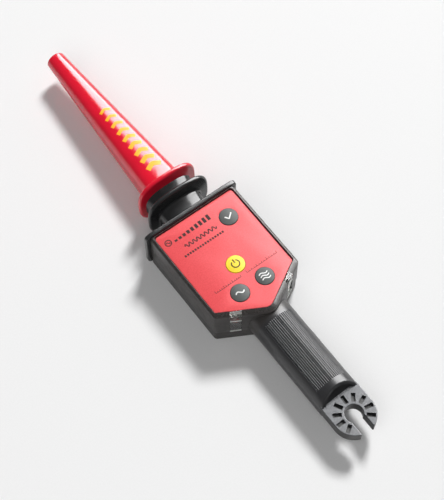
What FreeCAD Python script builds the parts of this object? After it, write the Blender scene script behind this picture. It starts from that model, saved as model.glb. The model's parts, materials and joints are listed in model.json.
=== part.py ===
"""Non-contact voltage tester for a hot stick: head, neck, sensor cone, grip and spline end.

Frame: millimetres, +Z out of the keypad face, +Y along the tester towards the tip of the cone,
+X to the right. The tester lies on its flat back, and the origin is on that back, under the
middle of the whole tester.
"""
import FreeCAD, Part
import math
import os
import Sketcher

Vector = FreeCAD.Vector
Rotation = FreeCAD.Rotation

DIMENSIONS = [
    # alias, value in millimetres, meaning
    ("head_half_width", 34.0, "half the width of the head"),
    ("head_top_y", 8.2, "end of the head at the guard"),
    ("head_corner_y", -62.4, "side corner where the head starts to narrow"),
    ("head_point_y", -81.6, "point where the two slanted walls would meet"),
    ("head_corner_round", 3.0, "rounding of the head's side corners"),
    ("head_point_round", 9.0, "rounding of the head's point"),
    ("wall", 2.2, "wall thickness of the shells"),
    ("floor_extra", 1.0, "extra thickness of the rear shell's floor"),
    ("rim_low_z", 33.7, "outer edge of the bezel"),
    ("rim_high_z", 35.3, "crest of the bezel"),
    ("rim_side", 1.6, "width of the bezel along the sides"),
    ("rim_slant", 3.5, "width of the bezel along the slanted walls"),
    ("ceiling_z", 31.3, "inside of the front shell's face"),
    ("split_z", 10.8, "height where the two shells of the head meet"),
    ("label_half_width", 31.3, "half the width of the label"),
    ("label_top_y", 7.0, "end of the label at the guard"),
    ("label_corner_y", -59.1, "side corner of the label"),
    ("label_point_y", -76.9, "point of the label"),
    ("label_z", 34.05, "top of the label"),
    ("label_thick", 0.5, "thickness of the label"),
    ("label_bevel", 1.05, "sloped inner edge of the bezel"),
    ("label_gap", 0.1, "clearance around the label"),
    ("window_start", 9.7, "distance of an LED window from the head's side corner"),
    ("window_width", 7.8, "width of an LED window along the slanted wall"),
    ("window_depth", 4.2, "depth of an LED window"),
    ("key_radius", 6.35, "radius of a key"),
    ("key_gap", 0.2, "clearance around a key"),
    ("key_proud", 0.55, "height of a key's edge above the label"),
    ("key_dome", 0.5, "height of a key's domed top"),
    ("key_flange", 7.6, "radius of a key's hidden flange"),
    ("range_key_x", 10.0, "distance of the range keys from the middle"),
    ("range_key_y", -57.5, "row of the two range keys"),
    ("power_key_y", -39.4, "place of the power key"),
    ("test_key_x", 17.3, "place of the test key"),
    ("test_key_y", -8.8, "place of the test key"),
    ("board_z", 25.0, "underside of the circuit board"),
    ("board_thick", 1.6, "thickness of the circuit board"),
    ("board_half_width", 24.0, "half the width of the circuit board"),
    ("grip_radius", 15.1, "radius of the grip"),
    ("grip_z", 16.75, "height of the grip's axis"),
    ("grip_end_y", -147.7, "end face of the grip"),
    ("rib_start_y", -83.5, "start of the grip's ribs"),
    ("rib_end_y", -137.8, "end of the grip's ribs"),
    ("rib_pitch", 5.4, "angle between two ribs, in degrees"),
    ("rib_depth", 0.45, "depth of the grooves between the ribs"),
    ("rib_gap", 0.7, "width of the grooves between the ribs"),
    ("end_lean", 0.42, "backwards lean of the grip's end face for each millimetre of height"),
    ("plate_z", 13.7, "underside of the spline plate"),
    ("plate_thick", 8.9, "thickness of the spline plate"),
    ("plate_radius", 14.55, "radius of the spline plate's round end"),
    ("plate_y", -161.4, "centre of the spline plate's hole"),
    ("bolt_radius", 6.1, "radius of the hole for the hot stick's bolt"),
    ("bolt_slot", 9.5, "width of the open slot"),
    ("tooth_inner", 7.7, "inner radius of the radial grooves"),
    ("tooth_outer", 13.6, "outer radius of the radial grooves"),
    ("tooth_width", 2.7, "width of a radial groove"),
    ("tooth_depth", 2.4, "depth of a radial groove"),
    ("tooth_pitch", 31.8, "angle between two radial grooves, in degrees"),
    ("tooth_first", -41.5, "angle of the first radial groove, in degrees"),
    ("tenon_half_width", 9.5, "half the width of the spline plate's tenon"),
    ("tenon_end_y", -122.0, "end of the tenon inside the grip"),
    ("tenon_step", 1.0, "step from the plate's top down to the tenon's top"),
    ("tenon_gap", 0.1, "clearance around the tenon"),
    ("tenon_screw_y", -131.0, "place of the tenon's screw"),
    ("axis_z", 18.6, "height of the cone's axis"),
    ("guard_half_width", 36.8, "half the width of the guard"),
    ("guard_low_z", 2.9, "lower edge of the guard"),
    ("guard_high_z", 37.0, "upper edge of the guard"),
    ("guard_thick", 3.3, "thickness of the guard"),
    ("neck_half_width", 15.8, "half the width of the neck"),
    ("neck_half_height", 12.0, "half the height of the neck"),
    ("neck_end_y", 36.0, "end of the neck at the cone"),
    ("shed_half_width", 24.1, "half the width of the neck's shed"),
    ("shed_high_z", 43.6, "top of the neck's shed"),
    ("shed_y", 23.0, "grip side of the neck's shed"),
    ("shed_thick", 3.4, "thickness of a shed"),
    ("skirt_half_width", 23.05, "half the width of the cone's skirt"),
    ("skirt_high_z", 43.8, "top of the cone's skirt"),
    ("shed_low_z", 0.3, "lowest edge of both sheds"),
    ("cone_half_width", 14.6, "half the width of the cone at its base"),
    ("cone_half_height", 15.0, "half the height of the cone at its base"),
    ("cone_tip_radius", 6.93, "radius of the cone's tip"),
    ("cone_tip_y", 175.5, "tip of the cone"),
    ("spigot_radius", 11.6, "radius of the neck's spigot in the cone"),
    ("battery_half_width", 13.25, "half the width of the battery"),
    ("battery_low_z", 2.7, "underside of the battery"),
    ("battery_high_z", 20.2, "top of the battery"),
    ("battery_start_y", -48.0, "contact end of the battery"),
    ("snap_start_y", -53.4, "outer face of the battery snap"),
    ("battery_end_y", 0.5, "closed end of the battery"),
    ("door_half_width", 17.0, "half the width of the battery door"),
    ("door_thick", 1.8, "thickness of the battery door"),
    ("door_start_y", -50.0, "end of the battery door towards the grip"),
    ("door_tongue", 1.2, "width of the door's side tongues"),
    ("tongue_thick", 0.9, "thickness of the door's side tongues"),
    ("slide_gap", 0.15, "clearance around the battery door"),
    ("screw_radius", 1.5, "shank radius of the housing screws"),
    ("boss_radius", 3.5, "radius of the screw bosses"),
    ("boss_x", 28.0, "distance of the screw bosses from the middle"),
    ("boss_top_y", 1.6, "bosses near the guard"),
    ("boss_low_y", -54.5, "bosses near the side corners"),
    ("grip_boss_y", -100.0, "boss in the grip"),
    ("overlap", 1.0, "how far joined shapes run into each other and cuts run past a surface"),
]

doc = FreeCAD.newDocument("voltage_tester")
sheet = doc.addObject("Spreadsheet::Sheet", "Dims")
for row, (alias, value, meaning) in enumerate(DIMENSIONS, start=1):
    sheet.set("A%d" % row, meaning)
    sheet.set("B%d" % row, str(value))
    sheet.setAlias("B%d" % row, alias)
doc.recompute()


class Size:
    """A length: its number now, and the sheet expression that gives it."""

    def __init__(self, value, text):
        self.value = value
        self.text = text

    @staticmethod
    def of(other):
        if isinstance(other, Size):
            return other
        return Size(float(other), "(%r)" % float(other))

    def _join(self, other, sign, value):
        return Size(value, "(%s %s %s)" % (self.text, sign, Size.of(other).text))

    def __add__(self, other):
        return self._join(other, "+", self.value + Size.of(other).value)

    def __sub__(self, other):
        return self._join(other, "-", self.value - Size.of(other).value)

    def __mul__(self, other):
        return self._join(other, "*", self.value * Size.of(other).value)

    def __radd__(self, other):
        return Size.of(other) + self

    def __rsub__(self, other):
        return Size.of(other) - self

    def __neg__(self):
        return Size(-self.value, "(-%s)" % self.text)


class Dimensions:
    """Every cell of the sheet as a Size, by its alias."""

    def __init__(self, rows):
        for alias, value, _ in rows:
            setattr(self, alias, Size(value, "Dims." + alias))


D = Dimensions(DIMENSIONS)
SLANT_RUN = D.head_half_width.value
SLANT_RISE = D.head_corner_y.value - D.head_point_y.value
SLANT_ANGLE = math.degrees(math.atan2(SLANT_RISE, SLANT_RUN))
SLANT_COS = math.cos(math.radians(SLANT_ANGLE))
NODES = {}


# ---------------------------------------------------------------- helpers

def bind(obj, prop, size):
    """Set a property to a size and keep it tied to the sheet."""
    obj.setExpression(prop, Size.of(size).text)


def node(obj, label):
    """Name an object as a sub-part of the tester."""
    obj.Label = label
    NODES[label] = obj
    return obj


def move(obj, x=0, y=0, z=0, rotation=None):
    """Place an object, with each coordinate tied to the sheet."""
    point = [Size.of(v) for v in (x, y, z)]
    obj.Placement = FreeCAD.Placement(Vector(*[p.value for p in point]), rotation or Rotation())
    for letter, size in zip("xyz", point):
        bind(obj, "Placement.Base." + letter, size)
    return obj


def box(name, x, y, z):
    """Part::Box between pairs of coordinates."""
    obj = doc.addObject("Part::Box", name)
    for prop, (low, high) in (("Length", x), ("Width", y), ("Height", z)):
        bind(obj, prop, Size.of(high) - low)
    return move(obj, x[0], y[0], z[0])


def rod(name, radius, length, x, y, z, axis=Vector(0, 0, 1)):
    """Part::Cylinder that starts at a point and runs along an axis."""
    obj = doc.addObject("Part::Cylinder", name)
    bind(obj, "Radius", radius)
    bind(obj, "Height", length)
    return move(obj, x, y, z, Rotation(Vector(0, 0, 1), axis))


def cut(name, base, tools):
    """Base minus every tool."""
    obj = doc.addObject("Part::Cut", name)
    obj.Base = base
    obj.Tool = tools[0] if len(tools) == 1 else fuse(name + "_tools", tools)
    return obj


def fuse(name, shapes):
    """All shapes as one solid."""
    obj = doc.addObject("Part::MultiFuse", name)
    obj.Shapes = shapes
    return obj


def common(name, shapes):
    """The space that all shapes share."""
    obj = doc.addObject("Part::MultiCommon", name)
    obj.Shapes = shapes
    return obj


def group(name, shapes):
    """Separate solids that share one node."""
    obj = doc.addObject("Part::Compound", name)
    obj.Links = shapes
    return obj


def new_body(name):
    return doc.addObject("PartDesign::Body", name)


def new_sketch(body, role, offset=0, x=0, y=0):
    """A sketch on one of the body's origin planes, shifted by offset along the plane's normal."""
    sketch = body.newObject("Sketcher::SketchObject", body.Name + "_sketch")
    plane = next(item for item in body.Origin.OriginFeatures if item.Role == role)
    sketch.AttachmentSupport = [(plane, "")]
    sketch.MapMode = "FlatFace"
    for letter, size in zip("xyz", (x, y, offset)):
        bind(sketch, "AttachmentOffset.Base." + letter, size)
    return sketch


def dimension(sketch, kind, references, size):
    """Add a driving constraint and tie it to the sheet."""
    size = Size.of(size)
    index = sketch.addConstraint(Sketcher.Constraint(kind, *references, size.value))
    sketch.setExpression("Constraints[%d]" % index, size.text)


def pin_point(sketch, geometry, position, x, y):
    """Fix a point of the sketch at coordinates from its origin."""
    for kind, size, axis in (("DistanceX", Size.of(x), -2), ("DistanceY", Size.of(y), -1)):
        if size.value == 0:
            sketch.addConstraint(Sketcher.Constraint("PointOnObject", geometry, position, axis))
        else:
            dimension(sketch, kind, (-1, 1, geometry, position), size)


def circle(sketch, x, y, radius):
    centre = Vector(Size.of(x).value, Size.of(y).value, 0)
    round_edge = Part.Circle(centre, Vector(0, 0, 1), Size.of(radius).value)
    index = sketch.addGeometry(round_edge, False)
    dimension(sketch, "Radius", (index,), radius)
    pin_point(sketch, index, 3, x, y)


def outline(sketch, corners):
    """Closed outline of straight edges, listed anticlockwise; each corner is (x, y, radius)."""
    count = len(corners)
    points = [Vector(Size.of(x).value, Size.of(y).value, 0) for x, y, _ in corners]
    radii = [Size.of(radius) for _, _, radius in corners]
    entries, exits, centres = [], [], []
    for i, point in enumerate(points):
        back = (points[i - 1] - point).normalize()
        ahead = (points[(i + 1) % count] - point).normalize()
        half = back.getAngle(ahead) / 2
        run = radii[i].value / math.tan(half)
        entries.append(point + back * run)
        exits.append(point + ahead * run)
        middle = (back + ahead).normalize()
        centres.append(point + middle * (radii[i].value / math.sin(half)))
    lines = []
    for i in range(count):
        edge = Part.LineSegment(exits[i], entries[(i + 1) % count])
        lines.append(sketch.addGeometry(edge, False))
    for i in range(count):
        before, after = lines[i - 1], lines[i]
        if radii[i].value == 0:
            sketch.addConstraint(Sketcher.Constraint("Coincident", before, 2, after, 1))
            pin_point(sketch, after, 1, corners[i][0], corners[i][1])
            continue
        start = entries[i] - centres[i]
        sweep = exits[i] - centres[i]
        first = math.atan2(start.y, start.x)
        last = math.atan2(sweep.y, sweep.x)
        ring = Part.Circle(centres[i], Vector(0, 0, 1), radii[i].value)
        arc = sketch.addGeometry(Part.ArcOfCircle(ring, first, last), False)
        sketch.addConstraint(Sketcher.Constraint("Tangent", before, 2, arc, 1))
        sketch.addConstraint(Sketcher.Constraint("Tangent", arc, 2, after, 1))
        dimension(sketch, "Radius", (arc,), radii[i])
        tip = sketch.addGeometry(Part.Point(points[i]), True)
        sketch.addConstraint(Sketcher.Constraint("PointOnObject", tip, 1, before))
        sketch.addConstraint(Sketcher.Constraint("PointOnObject", tip, 1, after))
        pin_point(sketch, tip, 1, corners[i][0], corners[i][1])


def rectangle(sketch, x, y, radius=0):
    """Rectangle between pairs of coordinates, with rounded corners."""
    outline(sketch, [(x[0], y[0], radius), (x[1], y[0], radius),
                     (x[1], y[1], radius), (x[0], y[1], radius)])


def extrude(body, kind, sketch, length, reverse=False):
    """Pad or pocket a sketch by a length."""
    feature = body.newObject("PartDesign::" + kind, body.Name + "_" + kind.lower())
    feature.Profile = sketch
    bind(feature, "Length", length)
    feature.Reversed = reverse
    return feature


def loft(body, kind, sketches, ruled=True):
    """Additive or subtractive loft through the sketches in order."""
    feature = body.newObject("PartDesign::" + kind, body.Name + "_loft")
    feature.Profile = sketches[0]
    feature.Sections = sketches[1:]
    feature.Ruled = ruled
    return feature


def revolve(body, sketch):
    """Turn a sketch once about its own vertical axis."""
    feature = body.newObject("PartDesign::Revolution", body.Name + "_turned")
    feature.Profile = sketch
    feature.ReferenceAxis = (sketch, ["V_Axis"])
    feature.Angle = 360
    return feature


def soften(body, radius, chosen, kind="Fillet"):
    """Fillet or chamfer the edges of the body so far that the test picks."""
    doc.recompute()
    base = body.Tip
    names = ["Edge%d" % i for i, edge in enumerate(base.Shape.Edges, start=1) if chosen(edge)]
    feature = body.newObject("PartDesign::" + kind, body.Name + "_" + kind.lower())
    feature.Base = (base, names)
    bind(feature, "Radius" if kind == "Fillet" else "Size", radius)
    return feature


def flat_at(edge, axis, value):
    """True where the whole edge lies in the plane axis = value."""
    box_of_edge = edge.BoundBox
    low = getattr(box_of_edge, axis.upper() + "Min")
    high = getattr(box_of_edge, axis.upper() + "Max")
    return abs(low - value) < 0.02 and abs(high - value) < 0.02


# ---------------------------------------------------------------- shared outlines

def head_corners(side_inset, slant_inset, top_inset, side_round, point_round):
    """The head's five-sided outline, moved inwards by an inset on each kind of wall."""
    slant_shift = Size.of(slant_inset) * (1 / SLANT_COS)
    half = D.head_half_width - side_inset
    slope = SLANT_RISE / SLANT_RUN
    corner_y = D.head_corner_y + slant_shift - Size.of(side_inset) * slope
    point_y = D.head_point_y + slant_shift
    top = D.head_top_y - top_inset
    return [(-half, top, 0), (-half, corner_y, side_round), (0, point_y, point_round),
            (half, corner_y, side_round), (half, top, 0)]


def label_corners(grow, top_round=2.0, side_round=1.2, point_round=6.0):
    """The label's outline, grown outwards by the same amount all round."""
    grow = Size.of(grow)
    half = D.label_half_width + grow
    slope = SLANT_RISE / SLANT_RUN
    corner_y = D.label_corner_y - grow * (1 / SLANT_COS - slope)
    point_y = D.label_point_y - grow * (1 / SLANT_COS)
    top = D.label_top_y + grow
    return [(-half, top, top_round), (-half, corner_y, side_round), (0, point_y, point_round),
            (half, corner_y, side_round), (half, top, top_round)]


KEYS = {
    "power": (Size.of(0), D.power_key_y),
    "test": (D.test_key_x, D.test_key_y),
    "low_range": (-D.range_key_x, D.range_key_y),
    "high_range": (D.range_key_x, D.range_key_y),
}
HOUSING_BOSSES = [(-D.boss_x, D.boss_top_y), (D.boss_x, D.boss_top_y),
                  (-D.boss_x, D.boss_low_y), (D.boss_x, D.boss_low_y)]
BOARD_SCREWS = [(-20.5, 1.4), (20.5, 1.4), (-20.5, -44.0), (20.5, -44.0)]
BOARD_POST_RADIUS = 2.6
BOARD_SCREW_RADIUS = 0.9
SCREW_HEAD = 2.2
SHELL_SCREWS = [(x, y, 1.0) for x, y in HOUSING_BOSSES] + [(Size.of(0), D.grip_boss_y, 3.0)]
SHELL_SCREW_HEAD_RADIUS = 2.8
COUNTERBORE_RADIUS = 3.1
PILOT_GAP = 0.05
NECK_SCREWS = [(-22.0, 14.5), (22.0, 14.5), (-22.0, 21.5), (22.0, 21.5)]
NECK_SCREW_RADIUS = 1.2
TENON_SCREW_HEAD_Z = 3.0
TOOTH_COUNT = 9
RIB_GROOVES_EACH_SIDE = 8
GRIP_ROOT = 4.0
INNER_ROUNDS = (1.5, 6.8)
CREST_ROUNDS = (2.2, 7.6)


# ---------------------------------------------------------------- shells

def grip_profile(sketch, radius, upper):
    """Part of the grip's round section above or below the joint of the shells, in the XZ plane."""
    radius = Size.of(radius)
    drop = D.split_z.value - D.grip_z.value
    right = math.asin(drop / radius.value)
    left = math.pi - right
    first, last = (right, left) if upper else (left, right + 2 * math.pi)
    ring = Part.Circle(Vector(0, D.grip_z.value, 0), Vector(0, 0, 1), radius.value)
    arc = sketch.addGeometry(Part.ArcOfCircle(ring, first, last), False)
    ends = [ring.value(last), ring.value(first)]
    chord = sketch.addGeometry(Part.LineSegment(*ends), False)
    sketch.addConstraint(Sketcher.Constraint("Coincident", arc, 2, chord, 1))
    sketch.addConstraint(Sketcher.Constraint("Coincident", arc, 1, chord, 2))
    sketch.addConstraint(Sketcher.Constraint("Horizontal", chord))
    dimension(sketch, "Radius", (arc,), radius)
    pin_point(sketch, arc, 3, 0, D.grip_z)
    dimension(sketch, "DistanceY", (-1, 1, chord, 1), D.split_z)


def hollow(body, low_z, high_z):
    """Pocket the head's inside between two heights."""
    sketch = new_sketch(body, "XY_Plane", low_z)
    outline(sketch, head_corners(D.wall, D.wall, D.wall, *INNER_ROUNDS))
    extrude(body, "Pocket", sketch, Size.of(high_z) - low_z, reverse=True)


def front_shell_body():
    """Front shell: head walls, bezel, face plate and the upper half of the grip."""
    body = new_body("front_shell")
    sketch = new_sketch(body, "XY_Plane", D.split_z)
    outline(sketch, head_corners(0, 0, 0, D.head_corner_round, D.head_point_round))
    extrude(body, "Pad", sketch, D.rim_low_z - D.split_z)
    low = new_sketch(body, "XY_Plane", D.rim_low_z)
    outline(low, head_corners(0, 0, 0, D.head_corner_round, D.head_point_round))
    high = new_sketch(body, "XY_Plane", D.rim_high_z)
    outline(high, head_corners(D.rim_side, D.rim_slant, 0.2, *CREST_ROUNDS))
    loft(body, "AdditiveLoft", [low, high])
    grip = new_sketch(body, "XZ_Plane", -D.grip_end_y)
    grip_profile(grip, D.grip_radius, True)
    extrude(body, "Pad", grip, D.head_corner_y - GRIP_ROOT - D.grip_end_y, reverse=True)
    hollow(body, D.split_z, D.ceiling_z)
    tube = new_sketch(body, "XZ_Plane", -(D.grip_end_y + D.wall))
    grip_profile(tube, D.grip_radius - D.wall, True)
    extrude(body, "Pocket", tube, D.head_corner_y - D.grip_end_y - D.wall)
    return body


def label_recess():
    """Space above and around the label: straight sides, then a bevel up to the bezel's crest."""
    body = new_body("label_recess")
    floor = new_sketch(body, "XY_Plane", D.label_z - D.label_thick)
    outline(floor, label_corners(D.label_gap))
    extrude(body, "Pad", floor, D.label_thick)
    low = new_sketch(body, "XY_Plane", D.label_z)
    outline(low, label_corners(D.label_gap))
    high = new_sketch(body, "XY_Plane", D.rim_high_z + 0.1)
    outline(high, label_corners(D.label_bevel))
    loft(body, "AdditiveLoft", [low, high])
    return body


def window_block(name, side, margin):
    """Upright slice across the slanted wall where an LED window sits."""
    outward = 3.0
    inward = (-outward, D.window_depth - margin) if side < 0 else (margin - D.window_depth, outward)
    ends = (D.window_start + margin, D.window_start + D.window_width - margin)
    body = new_body(name)
    sketch = new_sketch(body, "XY_Plane", D.split_z - 0.01)
    rectangle(sketch, ends, inward)
    extrude(body, "Pad", sketch, D.rim_high_z - D.split_z + D.overlap)
    turn = -SLANT_ANGLE
    corner_x = -D.head_half_width
    if side > 0:
        turn = 180.0 + SLANT_ANGLE
        corner_x = D.head_half_width
    move(body, corner_x, D.head_corner_y, 0, Rotation(Vector(0, 0, 1), turn))
    return body


def block_polygon(sketch, points):
    """Closed polygon whose edges are fixed where they are."""
    count = len(points)
    lines = []
    for i in range(count):
        edge = Part.LineSegment(points[i], points[(i + 1) % count])
        lines.append(sketch.addGeometry(edge, False))
    for i in range(count):
        sketch.addConstraint(Sketcher.Constraint("Coincident", lines[i], 2, lines[(i + 1) % count], 1))
        sketch.addConstraint(Sketcher.Constraint("Block", lines[i]))


def rib_grooves():
    """Fine lengthwise grooves across the top of the grip, wider at the top than at the bottom."""
    body = new_body("rib_grooves")
    sketch = new_sketch(body, "XZ_Plane", -D.rib_end_y)
    centre = Vector(0, D.grip_z.value, 0)
    outer = D.grip_radius.value + 0.6
    inner = D.grip_radius.value - D.rib_depth.value
    half_bottom = D.rib_gap.value * 0.25
    half_top = D.rib_gap.value * 0.75
    for step in range(-RIB_GROOVES_EACH_SIDE, RIB_GROOVES_EACH_SIDE + 1):
        angle = math.radians(step * D.rib_pitch.value)
        along = Vector(math.sin(angle), math.cos(angle), 0)
        across = Vector(math.cos(angle), -math.sin(angle), 0)
        bottom = centre + along * inner
        top = centre + along * outer
        block_polygon(sketch, [bottom - across * half_bottom, bottom + across * half_bottom,
                               top + across * half_top, top - across * half_top])
    extrude(body, "Pad", sketch, D.rib_start_y - D.rib_end_y, reverse=True)
    return body


def end_slope():
    """Wedge that leans the grip's end face back above the spline plate."""
    body = new_body("end_slope")
    half_width = 20.0
    height = 14.0
    sketch = new_sketch(body, "YZ_Plane", -half_width)
    low_z = D.plate_z + D.plate_thick
    high_z = low_z + height
    outside_y = D.grip_end_y - D.overlap
    outline(sketch, [(outside_y, low_z, 0), (D.grip_end_y, low_z, 0),
                     (D.grip_end_y + D.end_lean * height, high_z, 0), (outside_y, high_z, 0)])
    extrude(body, "Pad", sketch, 2 * half_width)
    return body


def front_posts():
    """Screw bosses and board posts that hang from the inside of the front shell."""
    into_face = 0.5
    top = D.ceiling_z + into_face
    board_top = D.board_z + D.board_thick
    posts = []
    for i, (x, y) in enumerate(HOUSING_BOSSES):
        posts.append(rod("front_boss_%d" % i, D.boss_radius, top - D.split_z, x, y, D.split_z))
    for i, (x, y) in enumerate(BOARD_SCREWS):
        posts.append(rod("board_post_%d" % i, BOARD_POST_RADIUS, top - board_top, x, y, board_top))
    grip_top = D.grip_z + D.grip_radius - 1.5
    posts.append(rod("front_grip_boss", D.boss_radius, grip_top - D.split_z, 0, D.grip_boss_y, D.split_z))
    return posts


def front_pilots():
    """Blind holes in the posts for the thread of each screw."""
    shell_pilot, board_pilot, grip_pilot = 13.0, 5.2, 14.0
    low_z = D.split_z - D.overlap
    radius = D.screw_radius + PILOT_GAP
    pilots = []
    for i, (x, y) in enumerate(HOUSING_BOSSES):
        pilots.append(rod("front_pilot_%d" % i, radius, shell_pilot, x, y, low_z))
    for i, (x, y) in enumerate(BOARD_SCREWS):
        pilots.append(rod("board_pilot_%d" % i, BOARD_SCREW_RADIUS + PILOT_GAP, board_pilot, x, y, D.board_z))
    pilots.append(rod("front_grip_pilot", radius, grip_pilot, 0, D.grip_boss_y, low_z))
    return pilots


def front_wall_holes():
    """Holes through the wall behind the guard: four screws and the passage for the sensor's lead."""
    inside_y = D.head_top_y - 3.0
    holes = []
    for i, (x, z) in enumerate(NECK_SCREWS):
        radius = NECK_SCREW_RADIUS + 0.1
        holes.append(rod("neck_screw_hole_%d" % i, radius, 4.0, x, inside_y, z, Vector(0, 1, 0)))
    half_width, top_z = 8.0, 25.0
    ends = (inside_y, D.head_top_y + D.overlap)
    heights = (D.split_z - D.overlap, top_z)
    holes.append(box("lead_passage", (-half_width, half_width), ends, heights))
    return holes


def build_front_housing():
    """Front shell with its posts and holes, and the two LED windows cut out of its walls."""
    solid = fuse("front_solid", [front_shell_body()] + front_posts())
    holes = [label_recess(), rib_grooves(), end_slope(), tenon_slot()]
    for name, (x, y) in KEYS.items():
        low_z = D.ceiling_z - D.overlap
        holes.append(rod(name + "_opening", D.key_radius + D.key_gap, 6.0, x, y, low_z))
    holes += front_pilots() + front_wall_holes()
    whole = cut("front_whole", solid, holes)
    slots = [window_block("window_slot_left", -1, 0.0), window_block("window_slot_right", 1, 0.0)]
    node(cut("front_housing_cut", whole, slots), "front_housing")
    fit = 0.08
    for label, side in (("led_window_left", -1), ("led_window_right", 1)):
        block = window_block(label + "_block", side, fit)
        node(common(label + "_piece", [whole, block]), label)


def battery_slot():
    """Recess for the door, its tongues and the opening above it, open towards the guard."""
    gap = D.slide_gap
    ends = (D.door_start_y - gap, D.head_top_y + D.overlap)
    half = D.door_half_width + gap
    wide = half + D.door_tongue
    top_z = D.door_thick + gap
    plate = box("door_recess", (-half, half), ends, (-D.overlap, top_z))
    tongue_z = D.door_thick - D.tongue_thick - gap
    tongues = box("tongue_groove", (-wide, wide), ends, (tongue_z, top_z))
    bay_gap = 0.4
    bay = D.battery_half_width + bay_gap
    bay_ends = (D.battery_start_y - bay_gap, D.battery_end_y + bay_gap)
    inside_z = 30.0
    opening = box("battery_opening", (-bay, bay), bay_ends, (0.5, inside_z))
    snap_ends = (D.snap_start_y - D.overlap, D.battery_start_y)
    chamber = box("snap_chamber", (-bay, bay), snap_ends, (D.wall + D.floor_extra, inside_z))
    return [plate, tongues, opening, chamber]


def rear_shell_body():
    """Rear shell: flat back, low walls and the lower half of the grip."""
    body = new_body("rear_shell")
    step_in = 0.3
    sketch = new_sketch(body, "XY_Plane", 0)
    outline(sketch, head_corners(step_in, step_in, 0, D.head_corner_round, D.head_point_round))
    extrude(body, "Pad", sketch, D.split_z)
    soften(body, 1.2, lambda edge: flat_at(edge, "z", 0) and edge.BoundBox.YMin < D.head_top_y.value - 0.2)
    grip = new_sketch(body, "XZ_Plane", -D.grip_end_y)
    grip_profile(grip, D.grip_radius, False)
    extrude(body, "Pad", grip, D.head_corner_y - GRIP_ROOT - D.grip_end_y, reverse=True)
    hollow(body, D.wall + D.floor_extra, D.split_z + D.overlap)
    tube = new_sketch(body, "XZ_Plane", -(D.grip_end_y + D.wall))
    grip_profile(tube, D.grip_radius - D.wall, False)
    extrude(body, "Pocket", tube, D.head_corner_y - D.grip_end_y - D.wall)
    return body


def rear_posts():
    """Cradle round the battery, and the bosses that the screws pass through."""
    cradle_wall, cradle_end, cradle_top = 2.2, 2.8, 12.0
    outer = D.battery_half_width + cradle_wall
    ends = (D.snap_start_y - cradle_end, D.battery_end_y + cradle_wall)
    posts = [box("battery_cradle", (-outer, outer), ends, (D.overlap, cradle_top))]
    radius = D.boss_radius + 0.5
    for i, (x, y) in enumerate(HOUSING_BOSSES):
        posts.append(rod("rear_boss_%d" % i, radius, D.split_z - D.overlap, x, y, D.overlap))
    low_z = TENON_SCREW_HEAD_Z
    posts.append(rod("rear_grip_boss", radius, D.split_z - low_z, 0, D.grip_boss_y, low_z))
    tenon_bottom = D.plate_z - D.tenon_gap
    posts.append(rod("tenon_boss", radius, tenon_bottom - low_z, 0, D.tenon_screw_y, low_z))
    return posts


def build_rear_housing():
    """Rear shell with its battery bay, screw holes and the row of sound holes."""
    solid = fuse("rear_solid", [rear_shell_body()] + rear_posts())
    holes = battery_slot()
    screws = SHELL_SCREWS + [(Size.of(0), D.tenon_screw_y, TENON_SCREW_HEAD_Z)]
    below = -D.overlap
    for i, (x, y, head_z) in enumerate(screws):
        bore = head_z + SCREW_HEAD + D.overlap
        holes.append(rod("rear_hole_%d" % i, D.screw_radius + 0.15, 20.0, x, y, below))
        holes.append(rod("rear_counterbore_%d" % i, COUNTERBORE_RADIUS, bore, x, y, below))
    sound_holes, sound_pitch, sound_y, sound_radius = 5, 3.2, -62.5, 0.8
    for i in range(sound_holes):
        x = (i - (sound_holes - 1) / 2) * sound_pitch
        holes.append(rod("sound_hole_%d" % i, sound_radius, 6.0, x, sound_y, below))
    node(cut("rear_housing_cut", solid, holes), "rear_housing")


def tenon_slot():
    """Opening in the grip's end wall for the spline plate's tenon."""
    half = D.tenon_half_width + D.tenon_gap
    ends = (D.grip_end_y - D.overlap, D.grip_end_y + D.wall + D.overlap)
    low_z = D.plate_z - D.tenon_gap
    high_z = D.plate_z + D.plate_thick - D.tenon_step + D.tenon_gap
    return box("tenon_slot", (-half, half), ends, (low_z, high_z))


def plate_outline(sketch):
    """Spline plate seen from above: a half-round end and straight sides up to the grip."""
    radius = D.plate_radius
    ring = Part.Circle(Vector(0, D.plate_y.value, 0), Vector(0, 0, 1), radius.value)
    arc = sketch.addGeometry(Part.ArcOfCircle(ring, math.pi, 2 * math.pi), False)
    pin_point(sketch, arc, 3, 0, D.plate_y)
    dimension(sketch, "Radius", (arc,), radius)
    root_y = D.grip_end_y.value
    points = [Vector(radius.value, D.plate_y.value, 0), Vector(radius.value, root_y, 0),
              Vector(-radius.value, root_y, 0), Vector(-radius.value, D.plate_y.value, 0)]
    sides = []
    for start, end in zip(points, points[1:]):
        sides.append(sketch.addGeometry(Part.LineSegment(start, end), False))
    sketch.addConstraint(Sketcher.Constraint("Tangent", arc, 2, sides[0], 1))
    sketch.addConstraint(Sketcher.Constraint("Coincident", sides[0], 2, sides[1], 1))
    sketch.addConstraint(Sketcher.Constraint("Coincident", sides[1], 2, sides[2], 1))
    sketch.addConstraint(Sketcher.Constraint("Tangent", sides[2], 2, arc, 1))
    sketch.addConstraint(Sketcher.Constraint("Horizontal", sides[1]))
    dimension(sketch, "DistanceY", (-1, 1, sides[1], 1), D.grip_end_y)


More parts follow.
